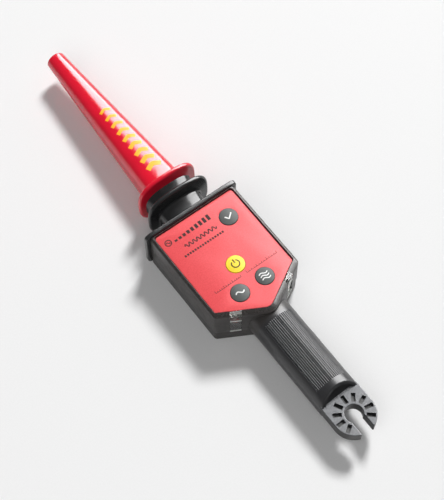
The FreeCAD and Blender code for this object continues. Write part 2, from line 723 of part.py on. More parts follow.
def radial_grooves(body, face_z, reverse):
    """Ring of grooves round the bolt hole, cut into one face of the plate."""
    tooth = new_sketch(body, "XY_Plane", face_z, 0, D.plate_y)
    turn = Rotation(Vector(0, 0, 1), D.tooth_first.value)
    tooth.AttachmentOffset = FreeCAD.Placement(tooth.AttachmentOffset.Base, turn)
    half = D.tooth_width * 0.5
    rectangle(tooth, (D.tooth_inner, D.tooth_outer), (-half, half))
    groove = extrude(body, "Pocket", tooth, D.tooth_depth, reverse)
    pattern = body.newObject("PartDesign::PolarPattern", "tooth_pattern")
    pattern.Originals = [groove]
    pattern.Axis = (tooth, ["N_Axis"])
    pattern.Occurrences = TOOTH_COUNT
    bind(pattern, "Angle", D.tooth_pitch * (TOOTH_COUNT - 1))
    body.Tip = pattern


def build_spline_end():
    """Slotted plate with radial grooves on both faces, and the tenon that holds it in the grip."""
    body = new_body("spline_end_body")
    top_z = D.plate_z + D.plate_thick
    sketch = new_sketch(body, "XY_Plane", D.plate_z)
    plate_outline(sketch)
    extrude(body, "Pad", sketch, D.plate_thick)
    tenon = new_sketch(body, "XY_Plane", D.plate_z)
    tenon_root_y = D.grip_end_y - 2.0
    rectangle(tenon, (-D.tenon_half_width, D.tenon_half_width), (tenon_root_y, D.tenon_end_y))
    extrude(body, "Pad", tenon, D.plate_thick - D.tenon_step)
    hole = new_sketch(body, "XY_Plane", top_z)
    circle(hole, 0, D.plate_y, D.bolt_radius)
    extrude(body, "Pocket", hole, D.plate_thick)
    slot = new_sketch(body, "XY_Plane", top_z)
    half = D.bolt_slot * 0.5
    rectangle(slot, (-half, half), (D.plate_y - D.plate_radius - 2.0, D.plate_y))
    extrude(body, "Pocket", slot, D.plate_thick)
    near_mouth = D.plate_y.value - 12.0
    soften(body, 1.0, lambda edge: edge.BoundBox.ZLength > 8 and edge.BoundBox.YMax < near_mouth)
    radial_grooves(body, top_z, False)
    radial_grooves(body, D.plate_z, True)
    pilot = new_sketch(body, "XY_Plane", D.plate_z)
    circle(pilot, 0, D.tenon_screw_y, D.screw_radius + PILOT_GAP)
    extrude(body, "Pocket", pilot, 6.0, reverse=True)
    node(body, "spline_end")


# ---------------------------------------------------------------- neck and cone

SHED_EDGE = 1.55
SPIGOT_LENGTH = 11.0
SEAL_RADIUS = 0.75
TIP_CAP = 1.0
TIP_FLAT = 0.12


def shed_profile(sketch, half_width, low_z, high_z, radius):
    """Rounded plate outline in the XZ plane."""
    rectangle(sketch, (-Size.of(half_width), half_width), (low_z, high_z), radius)


def outside_neck(edge):
    """True where an edge starts outside the neck's own section."""
    start = edge.valueAt(edge.FirstParameter)
    return (abs(start.x) > D.neck_half_width.value + 1.0
            or abs(start.z - D.axis_z.value) > D.neck_half_height.value + 1.0)


def build_neck():
    """Guard plate, neck with one shed, and the spigot that the cone slides onto."""
    body = new_body("neck_body")
    guard = new_sketch(body, "XZ_Plane", -D.head_top_y)
    shed_profile(guard, D.guard_half_width, D.guard_low_z, D.guard_high_z, 2.6)
    extrude(body, "Pad", guard, D.guard_thick, reverse=True)
    soften(body, 0.9, lambda edge: flat_at(edge, "y", D.head_top_y.value)
           or flat_at(edge, "y", D.head_top_y.value + D.guard_thick.value))
    neck_y = D.head_top_y + D.guard_thick - 1.0
    neck = new_sketch(body, "XZ_Plane", -neck_y)
    shed_profile(neck, D.neck_half_width, D.axis_z - D.neck_half_height, D.axis_z + D.neck_half_height, 6.5)
    extrude(body, "Pad", neck, D.neck_end_y - neck_y, reverse=True)
    shed = new_sketch(body, "XZ_Plane", -D.shed_y)
    shed_profile(shed, D.shed_half_width, D.shed_low_z, D.shed_high_z, 14.8)
    extrude(body, "Pad", shed, D.shed_thick, reverse=True)
    shed_faces = (D.shed_y.value, D.shed_y.value + D.shed_thick.value)
    soften(body, SHED_EDGE,
           lambda edge: any(flat_at(edge, "y", y) for y in shed_faces) and outside_neck(edge))
    spigot = new_sketch(body, "XZ_Plane", -D.neck_end_y)
    circle(spigot, 0, D.axis_z, D.spigot_radius)
    extrude(body, "Pad", spigot, SPIGOT_LENGTH, reverse=True)
    seat_start, seat_length, seat_depth = 5.0, 2.2, 1.4
    seat = new_sketch(body, "XZ_Plane", -(D.neck_end_y + seat_start))
    circle(seat, 0, D.axis_z, D.spigot_radius + D.overlap)
    circle(seat, 0, D.axis_z, D.spigot_radius - seat_depth)
    extrude(body, "Pocket", seat, seat_length)
    before_guard = -(D.head_top_y - D.overlap)
    bore_radius, bore_length = 7.5, 50.0
    bore = new_sketch(body, "XZ_Plane", before_guard)
    circle(bore, 0, D.axis_z, bore_radius)
    extrude(body, "Pocket", bore, bore_length)
    for x, z in NECK_SCREWS:
        pilot = new_sketch(body, "XZ_Plane", before_guard)
        circle(pilot, x, z, NECK_SCREW_RADIUS + PILOT_GAP)
        extrude(body, "Pocket", pilot, 3.4)
    node(body, "neck_insulator")
    seal = doc.addObject("Part::Torus", "cone_seal_ring")
    bind(seal, "Radius1", D.spigot_radius - 0.62)
    bind(seal, "Radius2", SEAL_RADIUS)
    seal_y = D.neck_end_y + seat_start + seat_length * 0.5
    move(seal, 0, seal_y, D.axis_z, Rotation(Vector(0, 0, 1), Vector(0, 1, 0)))
    node(seal, "cone_seal")


def build_cone():
    """Hollow red cone: rounded square at its base, round at its tip, with a skirt at its base."""
    body = new_body("cone_body")
    skirt = new_sketch(body, "XZ_Plane", -D.neck_end_y)
    shed_profile(skirt, D.skirt_half_width, D.shed_low_z, D.skirt_high_z, 13.8)
    extrude(body, "Pad", skirt, D.shed_thick, reverse=True)
    skirt_end = D.neck_end_y + D.shed_thick
    skirt_faces = (D.neck_end_y.value, skirt_end.value)
    soften(body, SHED_EDGE, lambda edge: any(flat_at(edge, "y", y) for y in skirt_faces))
    base_round = 6.0
    flare_end = skirt_end + 3.2
    flare = [(skirt_end, 2.6, 9.0), (skirt_end + 1.2, 0.9, 7.2), (flare_end, 0.0, base_round)]
    rings = []
    for y, grow, radius in flare:
        ring = new_sketch(body, "XZ_Plane", -y)
        shed_profile(ring, D.cone_half_width + grow, D.axis_z - D.cone_half_height - grow,
                     D.axis_z + D.cone_half_height + grow, radius)
        rings.append(ring)
    loft(body, "AdditiveLoft", rings)
    tip_y = D.cone_tip_y - TIP_CAP
    low_z, high_z = D.axis_z - D.cone_half_height, D.axis_z + D.cone_half_height
    base = new_sketch(body, "XZ_Plane", -flare_end)
    shed_profile(base, D.cone_half_width, low_z, high_z, base_round)
    low_z, high_z = D.axis_z - D.cone_tip_radius, D.axis_z + D.cone_tip_radius
    tip_round = D.cone_tip_radius - TIP_FLAT
    tip = new_sketch(body, "XZ_Plane", -tip_y)
    shed_profile(tip, D.cone_tip_radius, low_z, high_z, tip_round)
    loft(body, "AdditiveLoft", [base, tip])
    cap = new_sketch(body, "XZ_Plane", -tip_y)
    shed_profile(cap, D.cone_tip_radius, low_z, high_z, tip_round)
    extrude(body, "Pad", cap, TIP_CAP, reverse=True)
    soften(body, 0.95, lambda edge: flat_at(edge, "y", D.cone_tip_y.value))
    inner_base = new_sketch(body, "XZ_Plane", -D.neck_end_y)
    circle(inner_base, 0, D.axis_z, D.spigot_radius + 0.15)
    extrude(body, "Pocket", inner_base, SPIGOT_LENGTH + D.overlap)
    socket = new_sketch(body, "XZ_Plane", -(D.neck_end_y + SPIGOT_LENGTH + 0.5))
    circle(socket, 0, D.axis_z, D.spigot_radius - 0.4)
    nose_wall, nose_thick = 2.0, 5.0
    nose = new_sketch(body, "XZ_Plane", -(D.cone_tip_y - nose_thick))
    circle(nose, 0, D.axis_z, D.cone_tip_radius - nose_wall)
    loft(body, "SubtractiveLoft", [socket, nose])
    node(body, "sensor_cone")


# ---------------------------------------------------------------- keys, label, electronics

def build_label():
    body = new_body("label_body")
    sketch = new_sketch(body, "XY_Plane", D.label_z - D.label_thick)
    outline(sketch, label_corners(0))
    for x, y in KEYS.values():
        circle(sketch, x, y, D.key_radius + D.key_gap)
    extrude(body, "Pad", sketch, D.label_thick)
    node(body, "face_label")


def build_keys():
    """Four keys, each with the plunger of the switch under it."""
    edge_z = D.label_z + D.key_proud
    edge_round = 0.45
    flange_low, flange_high = 30.0, D.ceiling_z - 0.2
    stem_z, stem_radius = 29.6, 2.2
    plunger_low, plunger_radius = 27.7, 1.75
    for name, (x, y) in KEYS.items():
        body = new_body(name + "_key_body")
        sketch = new_sketch(body, "XZ_Plane", 0)
        radius = D.key_radius
        polygon(sketch, [(0, stem_z), (stem_radius, stem_z), (stem_radius, flange_low),
                         (D.key_flange, flange_low), (D.key_flange, flange_high),
                         (radius, flange_high), (radius, edge_z), (0, edge_z)])
        revolve(body, sketch)
        soften(body, edge_round, lambda edge: flat_at(edge, "z", edge_z.value) and edge.BoundBox.XLength > 12)
        cap = new_sketch(body, "XZ_Plane", 0)
        dome(cap, radius - edge_round, edge_z - 0.01, D.key_dome)
        revolve(body, cap)
        move(body, x, y, 0)
        node(body, name + "_key")
        plunger = rod(name + "_plunger_rod", plunger_radius, stem_z - plunger_low, x, y, plunger_low)
        node(plunger, name + "_plunger")


def polygon(sketch, corners):
    """Closed outline with sharp corners, in any direction and with inward corners."""
    count = len(corners)
    points = [Vector(Size.of(x).value, Size.of(y).value, 0) for x, y in corners]
    lines = []
    for i in range(count):
        edge = Part.LineSegment(points[i], points[(i + 1) % count])
        lines.append(sketch.addGeometry(edge, False))
    for i in range(count):
        sketch.addConstraint(Sketcher.Constraint("Coincident", lines[i - 1], 2, lines[i], 1))
        pin_point(sketch, lines[i], 1, *corners[i])


def dome(sketch, half_width, base_z, height):
    """Half of a flat circular segment, from the axis to its edge."""
    half, base, rise = half_width.value, base_z.value, height.value
    radius = (half * half + rise * rise) / (2 * rise)
    centre = Vector(0, base + rise - radius, 0)
    first = math.atan2(base - centre.y, half)
    ring = Part.Circle(centre, Vector(0, 0, 1), radius)
    arc = sketch.addGeometry(Part.ArcOfCircle(ring, first, math.pi / 2), False)
    side = sketch.addGeometry(Part.LineSegment(Vector(0, base + rise, 0), Vector(0, base, 0)), False)
    foot = sketch.addGeometry(Part.LineSegment(Vector(0, base, 0), Vector(half, base, 0)), False)
    sketch.addConstraint(Sketcher.Constraint("Coincident", arc, 2, side, 1))
    sketch.addConstraint(Sketcher.Constraint("Coincident", side, 2, foot, 1))
    sketch.addConstraint(Sketcher.Constraint("Coincident", foot, 2, arc, 1))
    pin_point(sketch, side, 1, 0, base_z + height)
    pin_point(sketch, side, 2, 0, base_z)
    pin_point(sketch, foot, 2, half_width, base_z)
    sketch.addConstraint(Sketcher.Constraint("PointOnObject", arc, 3, -2))


def build_switches():
    """Four tactile switches on the board, each with a round well for its plunger."""
    half, high_z = 3.0, 28.4
    well_radius, well_depth, well_floor = 1.85, 3.0, 0.2
    shapes = []
    for name, (x, y) in KEYS.items():
        low = D.board_z + D.board_thick
        shell = box(name + "_switch_box", (x - half, x + half), (y - half, y + half), (low, high_z))
        well = rod(name + "_switch_well", well_radius, well_depth, x, y, low + well_floor)
        shapes.append(cut(name + "_switch", shell, [well]))
    node(group("switch_group", shapes), "key_switches")


def build_board():
    body = new_body("board_body")
    sketch = new_sketch(body, "XY_Plane", D.board_z)
    half = D.board_half_width
    outline(sketch, [(-half, 4.0, 1.0), (-half, -59.5, 1.0), (-12.0, -68.0, 1.0),
                     (12.0, -68.0, 1.0), (half, -59.5, 1.0), (half, 4.0, 1.0)])
    for x, y in BOARD_SCREWS:
        circle(sketch, x, y, BOARD_SCREW_RADIUS + 0.2)
    extrude(body, "Pad", sketch, D.board_thick)
    node(body, "circuit_board")
    top = D.board_z + D.board_thick
    node(box("shield_box", (-10.0, 8.0), (-30.0, -14.0), (top, top + 3.0)), "input_shield")
    node(box("chip_box", (-19.5, -12.0), (-36.0, -28.5), (top, top + 1.5)), "signal_chip")
    spots = [(-16.0, -8.0), (-12.0, -8.0), (-8.0, -8.0), (12.0, -22.0), (16.0, -22.0), (12.0, -30.0),
             (14.0, -46.0), (18.0, -50.0), (-20.0, -20.0), (-20.0, -26.0), (0.0, -50.0)]
    half_width, half_length, height = 0.8, 1.6, 1.0
    chips = []
    for i, (x, y) in enumerate(spots):
        chips.append(box("component_%d" % i, (x - half_width, x + half_width),
                         (y - half_length, y + half_length), (top, top + height)))
    node(group("component_group", chips), "board_components")
    buzzer_y, buzzer_radius, buzzer_height = -62.0, 5.5, 6.0
    can = rod("buzzer_can", buzzer_radius, buzzer_height, 0, buzzer_y, D.board_z - buzzer_height)
    port = rod("buzzer_port", 1.0, 2.0, 0, buzzer_y, D.board_z - buzzer_height - D.overlap)
    node(cut("buzzer_cut", can, [port]), "buzzer")


def build_leds():
    """Round indicator lamps behind the two windows, with two legs up to the board."""
    lamp_radius, rim_radius, rim, barrel = 2.5, 2.9, 1.0, 5.6
    centre_z = 20.6
    distance = 13.6
    for label, side in (("warning_led_left", -1), ("warning_led_right", 1)):
        body = new_body(label + "_body")
        sketch = new_sketch(body, "XZ_Plane", 0)
        polygon(sketch, [(0, 0), (rim_radius, 0), (rim_radius, rim), (lamp_radius, rim),
                         (lamp_radius, barrel), (0, barrel)])
        revolve(body, sketch)
        soften(body, 1.9, lambda edge: flat_at(edge, "z", barrel) and edge.BoundBox.XLength > 4)
        reach = 9.4
        inward = Vector(-side * math.sin(math.radians(SLANT_ANGLE)), SLANT_COS, 0)
        wall_x = side * (SLANT_RUN - distance * SLANT_COS)
        wall_y = D.head_corner_y.value - distance * math.sin(math.radians(SLANT_ANGLE))
        start = Vector(wall_x, wall_y, centre_z) + inward * reach
        move(body, start.x, start.y, start.z, Rotation(Vector(0, 0, 1), inward * -1))
        legs = []
        for i, shift in enumerate((-1.27, 1.27)):
            aside = Vector(inward.y, -inward.x, 0) * shift
            foot = start + inward * 1.4 + aside
            route = [start - inward * 0.4 + aside, foot, Vector(foot.x, foot.y, D.board_z.value)]
            legs.append(tube_along("%s_leg_%d" % (label, i), route, 0.25, 0.6))
        node(fuse(label + "_whole", [body] + legs), label)


def tube_along(name, points, radius, bend):
    """Round wire through points, with a tangent arc at each corner."""
    vectors = [Vector(*point) for point in points]
    edges = []
    last = vectors[0]
    for before, corner, after in zip(vectors, vectors[1:], vectors[2:]):
        back = (before - corner).normalize()
        ahead = (after - corner).normalize()
        half = back.getAngle(ahead) / 2
        run = bend / math.tan(half)
        entry, leave = corner + back * run, corner + ahead * run
        middle = corner + (back + ahead).normalize() * (bend / math.sin(half) - bend)
        edges.append(Part.LineSegment(last, entry).toShape())
        edges.append(Part.Arc(entry, middle, leave).toShape())
        last = leave
    edges.append(Part.LineSegment(last, vectors[-1]).toShape())
    spine = Part.Wire(edges)
    direction = vectors[1] - vectors[0]
    profile = Part.Wire([Part.Circle(vectors[0], direction, radius).toShape()])
    obj = doc.addObject("Part::Feature", name)
    obj.Shape = spine.makePipeShell([profile], True, False)
    return obj


def build_sensor():
    """Pick-up rod in the cone, the discs that centre it, and its lead to the board."""
    axis_z = D.axis_z
    rod_start, rod_end, rod_radius = 56.0, 166.0, 1.6
    head_length, head_radius = 4.0, 3.6
    along = Vector(0, 1, 0)
    shaft = rod("electrode_shaft", rod_radius, rod_end - rod_start, 0, rod_start, axis_z, along)
    head = rod("electrode_head", head_radius, head_length, 0, rod_end - head_length, axis_z, along)
    node(fuse("electrode_whole", [shaft, head]), "sensor_electrode")
    discs = []
    disc_thick = 3.0
    for i, (y, radius) in enumerate(((66.0, 9.6), (104.0, 7.8), (142.0, 6.0))):
        disc = rod("support_disc_%d" % i, radius, disc_thick, 0, y, axis_z, along)
        hole = rod("support_hole_%d" % i, rod_radius + PILOT_GAP, disc_thick + 2.0, 0, y - 1.0, axis_z, along)
        discs.append(cut("support_%d" % i, disc, [hole]))
    node(group("support_group", discs), "electrode_supports")
    level = axis_z.value
    raised = level + 3.9
    board_y = 1.6
    route = [(0, rod_start, level), (0, 14.0, level), (0, 7.0, raised),
             (0, board_y, raised), (0, board_y, D.board_z.value)]
    node(tube_along("lead_wire", route, 0.7, 1.6), "sensor_lead")


def build_battery():
    body = new_body("battery_body")
    sketch = new_sketch(body, "XZ_Plane", -D.battery_start_y)
    rectangle(sketch, (-D.battery_half_width, D.battery_half_width), (D.battery_low_z, D.battery_high_z), 2.0)
    extrude(body, "Pad", sketch, D.battery_end_y - D.battery_start_y, reverse=True)
    stud_z = (D.battery_low_z + D.battery_high_z) * 0.5
    stud_length = 1.9
    sockets = []
    for i, (x, radius) in enumerate(((-6.35, 2.8), (6.35, 3.9))):
        stud = new_sketch(body, "XZ_Plane", -D.battery_start_y)
        circle(stud, x, stud_z, radius)
        extrude(body, "Pad", stud, stud_length)
        sockets.append(rod("snap_socket_%d" % i, radius + 0.1, stud_length + 1.1, x,
                           D.battery_start_y - stud_length - 0.1, stud_z, Vector(0, 1, 0)))
    node(body, "battery")
    cap = box("snap_plate", (-12.0, 12.0), (D.snap_start_y, D.battery_start_y - 0.1), (4.0, 19.0))
    node(cut("snap_cut", cap, sockets), "battery_snap")
    wires = []
    wire_z = 15.5
    for i, x in enumerate((-8.0, 8.0)):
        turn_y = D.snap_start_y.value - 4.5
        route = [(x, D.snap_start_y.value, wire_z), (x, turn_y, wire_z), (x, turn_y, D.board_z.value)]
        wires.append(tube_along("battery_wire_%d" % i, route, 0.7, 3.0))
    node(group("battery_wires", wires), "battery_leads")
    pad = box("foam_block", (-10.0, 10.0), (-40.0, -8.0), (D.battery_high_z, D.board_z))
    node(pad, "battery_pad")


def build_battery_door():
    """Flat door with a tongue along each side; it slides out towards the cone."""
    body = new_body("door_body")
    sketch = new_sketch(body, "XY_Plane", 0)
    half = D.door_half_width
    ends = (D.door_start_y, D.head_top_y)
    rectangle(sketch, (-half, half), ends)
    extrude(body, "Pad", sketch, D.door_thick)
    wide = new_sketch(body, "XY_Plane", D.door_thick - D.tongue_thick)
    rectangle(wide, (-(half + D.door_tongue), half + D.door_tongue), ends)
    extrude(body, "Pad", wide, D.tongue_thick)
    grip_rows, row_start, row_pitch = 6, 6.0, 2.2
    row_half, row_width, row_depth = 9.0, 1.0, 0.5
    for i in range(grip_rows):
        groove = new_sketch(body, "XY_Plane", 0)
        y = D.door_start_y + row_start + i * row_pitch
        rectangle(groove, (-row_half, row_half), (y, y + row_width))
        extrude(body, "Pocket", groove, row_depth, reverse=True)
    node(body, "battery_door")


# ---------------------------------------------------------------- fasteners

def screw(name, head_radius, head, radius, length, x, y, z, axis):
    """Pan-head screw from its head's outer face, with a cross recess."""
    base = Vector(Size.of(x).value, Size.of(y).value, Size.of(z).value)
    cap = rod(name + "_cap", head_radius, head, base.x, base.y, base.z, axis)
    shank = rod(name + "_shank", radius, length, base.x, base.y, base.z, axis)
    whole = fuse(name + "_blank", [cap, shank])
    slots = []
    reach, slot_width, slot_depth = head_radius * 1.2, 0.7, 0.9
    for i, (long_side, short_side) in enumerate(((reach, slot_width), (slot_width, reach))):
        slot = doc.addObject("Part::Box", "%s_slot_%d" % (name, i))
        slot.Length, slot.Width, slot.Height = long_side, short_side, slot_depth + 1.0
        turn = Rotation(Vector(0, 0, 1), axis)
        corner = turn.multVec(Vector(-long_side / 2, -short_side / 2, -1.0))
        slot.Placement = FreeCAD.Placement(base + corner, turn)
        slots.append(slot)
    return cut(name, whole, slots)


def build_screws():
    up = Vector(0, 0, 1)
    shells = []
    shank = D.screw_radius.value
    for i, (x, y, head_z) in enumerate(SHELL_SCREWS):
        shells.append(screw("housing_screw_%d" % i, SHELL_SCREW_HEAD_RADIUS, SCREW_HEAD,
                            shank, 20.0, x, y, head_z, up))
    node(group("housing_screw_group", shells), "housing_screws")
    tenon = screw("tenon_screw_whole", SHELL_SCREW_HEAD_RADIUS, SCREW_HEAD,
                  shank, 15.5, 0, D.tenon_screw_y, TENON_SCREW_HEAD_Z, up)
    node(tenon, "tenon_screw")
    small_head = 1.3
    boards = []
    for i, (x, y) in enumerate(BOARD_SCREWS):
        boards.append(screw("board_screw_%d" % i, 1.8, small_head,
                            BOARD_SCREW_RADIUS, 6.0, x, y, D.board_z - small_head, up))
    node(group("board_screw_group", boards), "board_screws")
    necks = []
    for i, (x, z) in enumerate(NECK_SCREWS):
        necks.append(screw("neck_screw_%d" % i, 2.1, small_head, NECK_SCREW_RADIUS, 5.6, x,
                           D.head_top_y - D.wall - small_head, z, Vector(0, 1, 0)))
    node(group("neck_screw_group", necks), "neck_screws")


build_front_housing()
build_rear_housing()
build_spline_end()
build_neck()
build_cone()
build_label()
build_keys()
build_switches()
build_board()
build_leds()
build_sensor()
build_battery()
build_battery_door()
build_screws()
doc.recompute()

broken = [obj.Name for obj in doc.Objects if set(obj.State) & {"Invalid", "Error"}]
if broken:
    raise RuntimeError("failed objects: " + ", ".join(broken))
os.makedirs("parts", exist_ok=True)
for label, obj in NODES.items():
    if obj.Shape.isNull() or not obj.Shape.isValid() or not obj.Shape.Solids:
        raise RuntimeError("bad shape: " + label)
for label, obj in NODES.items():
    obj.Shape.exportStep("parts/%s.step" % label)
    bounds = obj.Shape.BoundBox
    print("%-20s solids %d volume %9.1f  x %6.1f %6.1f  y %7.1f %7.1f  z %5.1f %5.1f" % (
        label, len(obj.Shape.Solids), obj.Shape.Volume, bounds.XMin, bounds.XMax,
        bounds.YMin, bounds.YMax, bounds.ZMin, bounds.ZMax))
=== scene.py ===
import json
import math

import bmesh
import bpy
from mathutils import Matrix, Vector


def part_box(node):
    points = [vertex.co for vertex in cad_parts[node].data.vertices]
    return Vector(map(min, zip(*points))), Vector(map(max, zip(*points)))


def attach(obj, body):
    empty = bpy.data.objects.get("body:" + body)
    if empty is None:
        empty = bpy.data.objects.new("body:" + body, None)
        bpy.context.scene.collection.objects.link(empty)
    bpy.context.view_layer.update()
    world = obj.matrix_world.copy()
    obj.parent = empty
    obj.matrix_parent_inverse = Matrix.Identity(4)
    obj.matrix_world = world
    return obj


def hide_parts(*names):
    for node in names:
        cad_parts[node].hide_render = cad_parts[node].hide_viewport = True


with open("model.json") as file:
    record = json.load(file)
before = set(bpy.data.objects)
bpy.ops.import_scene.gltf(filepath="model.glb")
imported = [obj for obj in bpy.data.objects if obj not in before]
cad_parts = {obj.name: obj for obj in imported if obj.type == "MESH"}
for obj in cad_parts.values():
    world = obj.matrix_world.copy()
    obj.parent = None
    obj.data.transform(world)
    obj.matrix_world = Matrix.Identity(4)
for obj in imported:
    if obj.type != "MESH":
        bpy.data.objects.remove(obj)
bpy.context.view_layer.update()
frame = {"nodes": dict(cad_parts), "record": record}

# A presence tester for high voltage: a head with four keys and two lamp windows, a black neck with a
# guard plate and a shed, a red sensing cone towards +Y, and a grip with a slotted spline end towards -Y.

MM = 0.001
BODY = "tester"


# ---------------------------------------------------------------- sizes, in millimetres, from the frame

def node_box(name):
    """Lowest and highest corner of a CAD node, in millimetres."""
    low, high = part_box(name)
    return low / MM, high / MM


FRONT_LOW, FRONT_HIGH = node_box("front_housing")
NECK_LOW = node_box("neck_insulator")[0]
CONE_LOW, CONE_HIGH = node_box("sensor_cone")
LABEL_LOW, LABEL_HIGH = node_box("face_label")
SPLINE_LOW, SPLINE_HIGH = node_box("spline_end")
SEAL_LOW, SEAL_HIGH = node_box("cone_seal")

# head: straight sides, then two slanted walls that meet in a point; the shells join at SPLIT_Z
HEAD_HALF = FRONT_HIGH.x
HEAD_TOP_Y = FRONT_HIGH.y
HEAD_CORNER_Y = -62.4
HEAD_POINT_Y = -81.6
SLOPE = (HEAD_CORNER_Y - HEAD_POINT_Y) / HEAD_HALF
SLANT = math.atan(SLOPE)
SPLIT_Z = FRONT_LOW.z
BEZEL_HEIGHT = 1.6
RIM_HIGH_Z = FRONT_HIGH.z
RIM_LOW_Z = RIM_HIGH_Z - BEZEL_HEIGHT
CEILING_Z = 31.3
WALL = 2.2

# label, with the same slant as the head
LABEL_HALF = LABEL_HIGH.x
LABEL_TOP_Y = LABEL_HIGH.y
LABEL_CORNER_Y = -59.1
LABEL_Z = LABEL_HIGH.z
LABEL_THICK = LABEL_HIGH.z - LABEL_LOW.z

# grip: a tube whose end face leans back; its grooves' pitch is in degrees, their half width a share of it
GRIP_RADIUS = 15.1
GRIP_BORE = GRIP_RADIUS - WALL
GRIP_Z = 16.75
GRIP_END_Y = FRONT_LOW.y
GROOVE_PITCH = 5.4
GROOVES_EACH_SIDE = 8
GROOVE_DEPTH = 0.55
GROOVE_HALF_WIDTH = 0.30
GROOVE_START_Y = -83.5
GROOVE_END_Y = -137.8
END_LEAN = 0.56

# height of the axis of the neck and the cone
AXIS_Z = (SEAL_LOW.z + SEAL_HIGH.z) / 2


# ---------------------------------------------------------------- mesh helpers

WELD = 1e-6


def new_object(name, mesh):
    obj = bpy.data.objects.new(name, mesh)
    bpy.context.scene.collection.objects.link(obj)
    return obj


def mesh_object(name, points, faces, angle=35.0):
    """Object from points in millimetres, smooth except over edges sharper than the angle."""
    mesh = bpy.data.meshes.new(name)
    mesh.from_pydata([Vector(p) * MM for p in points], [], faces)
    bm = bmesh.new()
    bm.from_mesh(mesh)
    bmesh.ops.remove_doubles(bm, verts=bm.verts, dist=WELD)
    bmesh.ops.recalc_face_normals(bm, faces=bm.faces)
    bm.to_mesh(mesh)
    bm.free()
    obj = new_object(name, mesh)
    smooth(obj, angle)
    return obj


def smooth(obj, angle):
    """Smooth shading, except over edges sharper than the angle in degrees."""
    mesh = obj.data
    mesh.polygons.foreach_set("use_smooth", [True] * len(mesh.polygons))
    mesh.set_sharp_from_angle(angle=math.radians(angle))


def loft(name, rings, angle=35.0):
    """Closed skin through rings with equal numbers of points."""
    count = len(rings[0])
    points = [point for ring in rings for point in ring]
    faces = []
    for level in range(len(rings) - 1):
        for i in range(count):
            j = (i + 1) % count
            low, high = level * count, (level + 1) * count
            faces.append((low + i, low + j, high + j, high + i))
    last = (len(rings) - 1) * count
    faces.append(tuple(reversed(range(count))))
    faces.append(tuple(last + i for i in range(count)))
    return mesh_object(name, points, faces, angle)


def rounded(corners, steps=8):
    """Points along a closed outline of straight edges; each corner is (x, y, radius)."""
    points = []
    count = len(corners)
    for i, (x, y, radius) in enumerate(corners):
        here = Vector((x, y))
        back = (Vector(corners[i - 1][:2]) - here).normalized()
        ahead = (Vector(corners[(i + 1) % count][:2]) - here).normalized()
        half = back.angle(ahead) / 2
        centre = here + (back + ahead).normalized() * (radius / math.sin(half))
        start = here + back * (radius / math.tan(half)) - centre
        turn = math.pi - 2 * half
        if (-back).cross(ahead) < 0:
            turn = -turn
        for step in range(steps + 1):
            swing = Matrix.Rotation(turn * step / steps, 2)
            points.append(centre + swing @ start)
    return points


def circle(x, y, radius, steps):
    """Points round a circle."""
    turns = [2 * math.pi * i / steps for i in range(steps)]
    return [(x + radius * math.cos(turn), y + radius * math.sin(turn)) for turn in turns]


def quarter(steps):
    """Angles of a quarter turn, from nothing to a right angle."""
    return [math.pi / 2 * i / steps for i in range(steps + 1)]


def at_z(outline, z):
    return [(p[0], p[1], z) for p in outline]


def at_y(outline, y):
    return [(p[0], y, p[1]) for p in outline]


def cylinder(name, x, y, low, high, radius, steps=64):
    ring = circle(x, y, radius, steps)
    return loft(name, [at_z(ring, low), at_z(ring, high)])


def lathe(name, profile, x, y, steps=72):
    """Turned piece from (radius, height) points; the first and last lie on the axis."""
    thinnest = 0.001
    rings = [at_z(circle(x, y, max(radius, thinnest), steps), z) for radius, z in profile]
    return loft(name, rings, 30.0)


def cut(obj, tool):
    """Cut a tool out of an object, then remove the tool."""
    modifier = obj.modifiers.new("cut", "BOOLEAN")
    modifier.operation = "DIFFERENCE"
    modifier.solver = "EXACT"
    modifier.object = tool
    depsgraph = bpy.context.evaluated_depsgraph_get()
    depsgraph.update()
    mesh = bpy.data.meshes.new_from_object(obj.evaluated_get(depsgraph))
    obj.modifiers.clear()
    obj.data = mesh
    bpy.data.objects.remove(tool)


def place(obj, body, slot, material, *replaced):
    """Give a piece its body and finish, and hide the CAD nodes it stands for."""
    obj.data.materials.clear()
    obj.data.materials.append(material)
    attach(obj, body)
    if replaced:
        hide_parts(*replaced)
    return obj


# ---------------------------------------------------------------- materials

# a Mix node's first and second input and its output, for colours and for plain values
MIX_SOCKETS = {"RGBA": (6, 7, 2), "FLOAT": (2, 3, 0)}


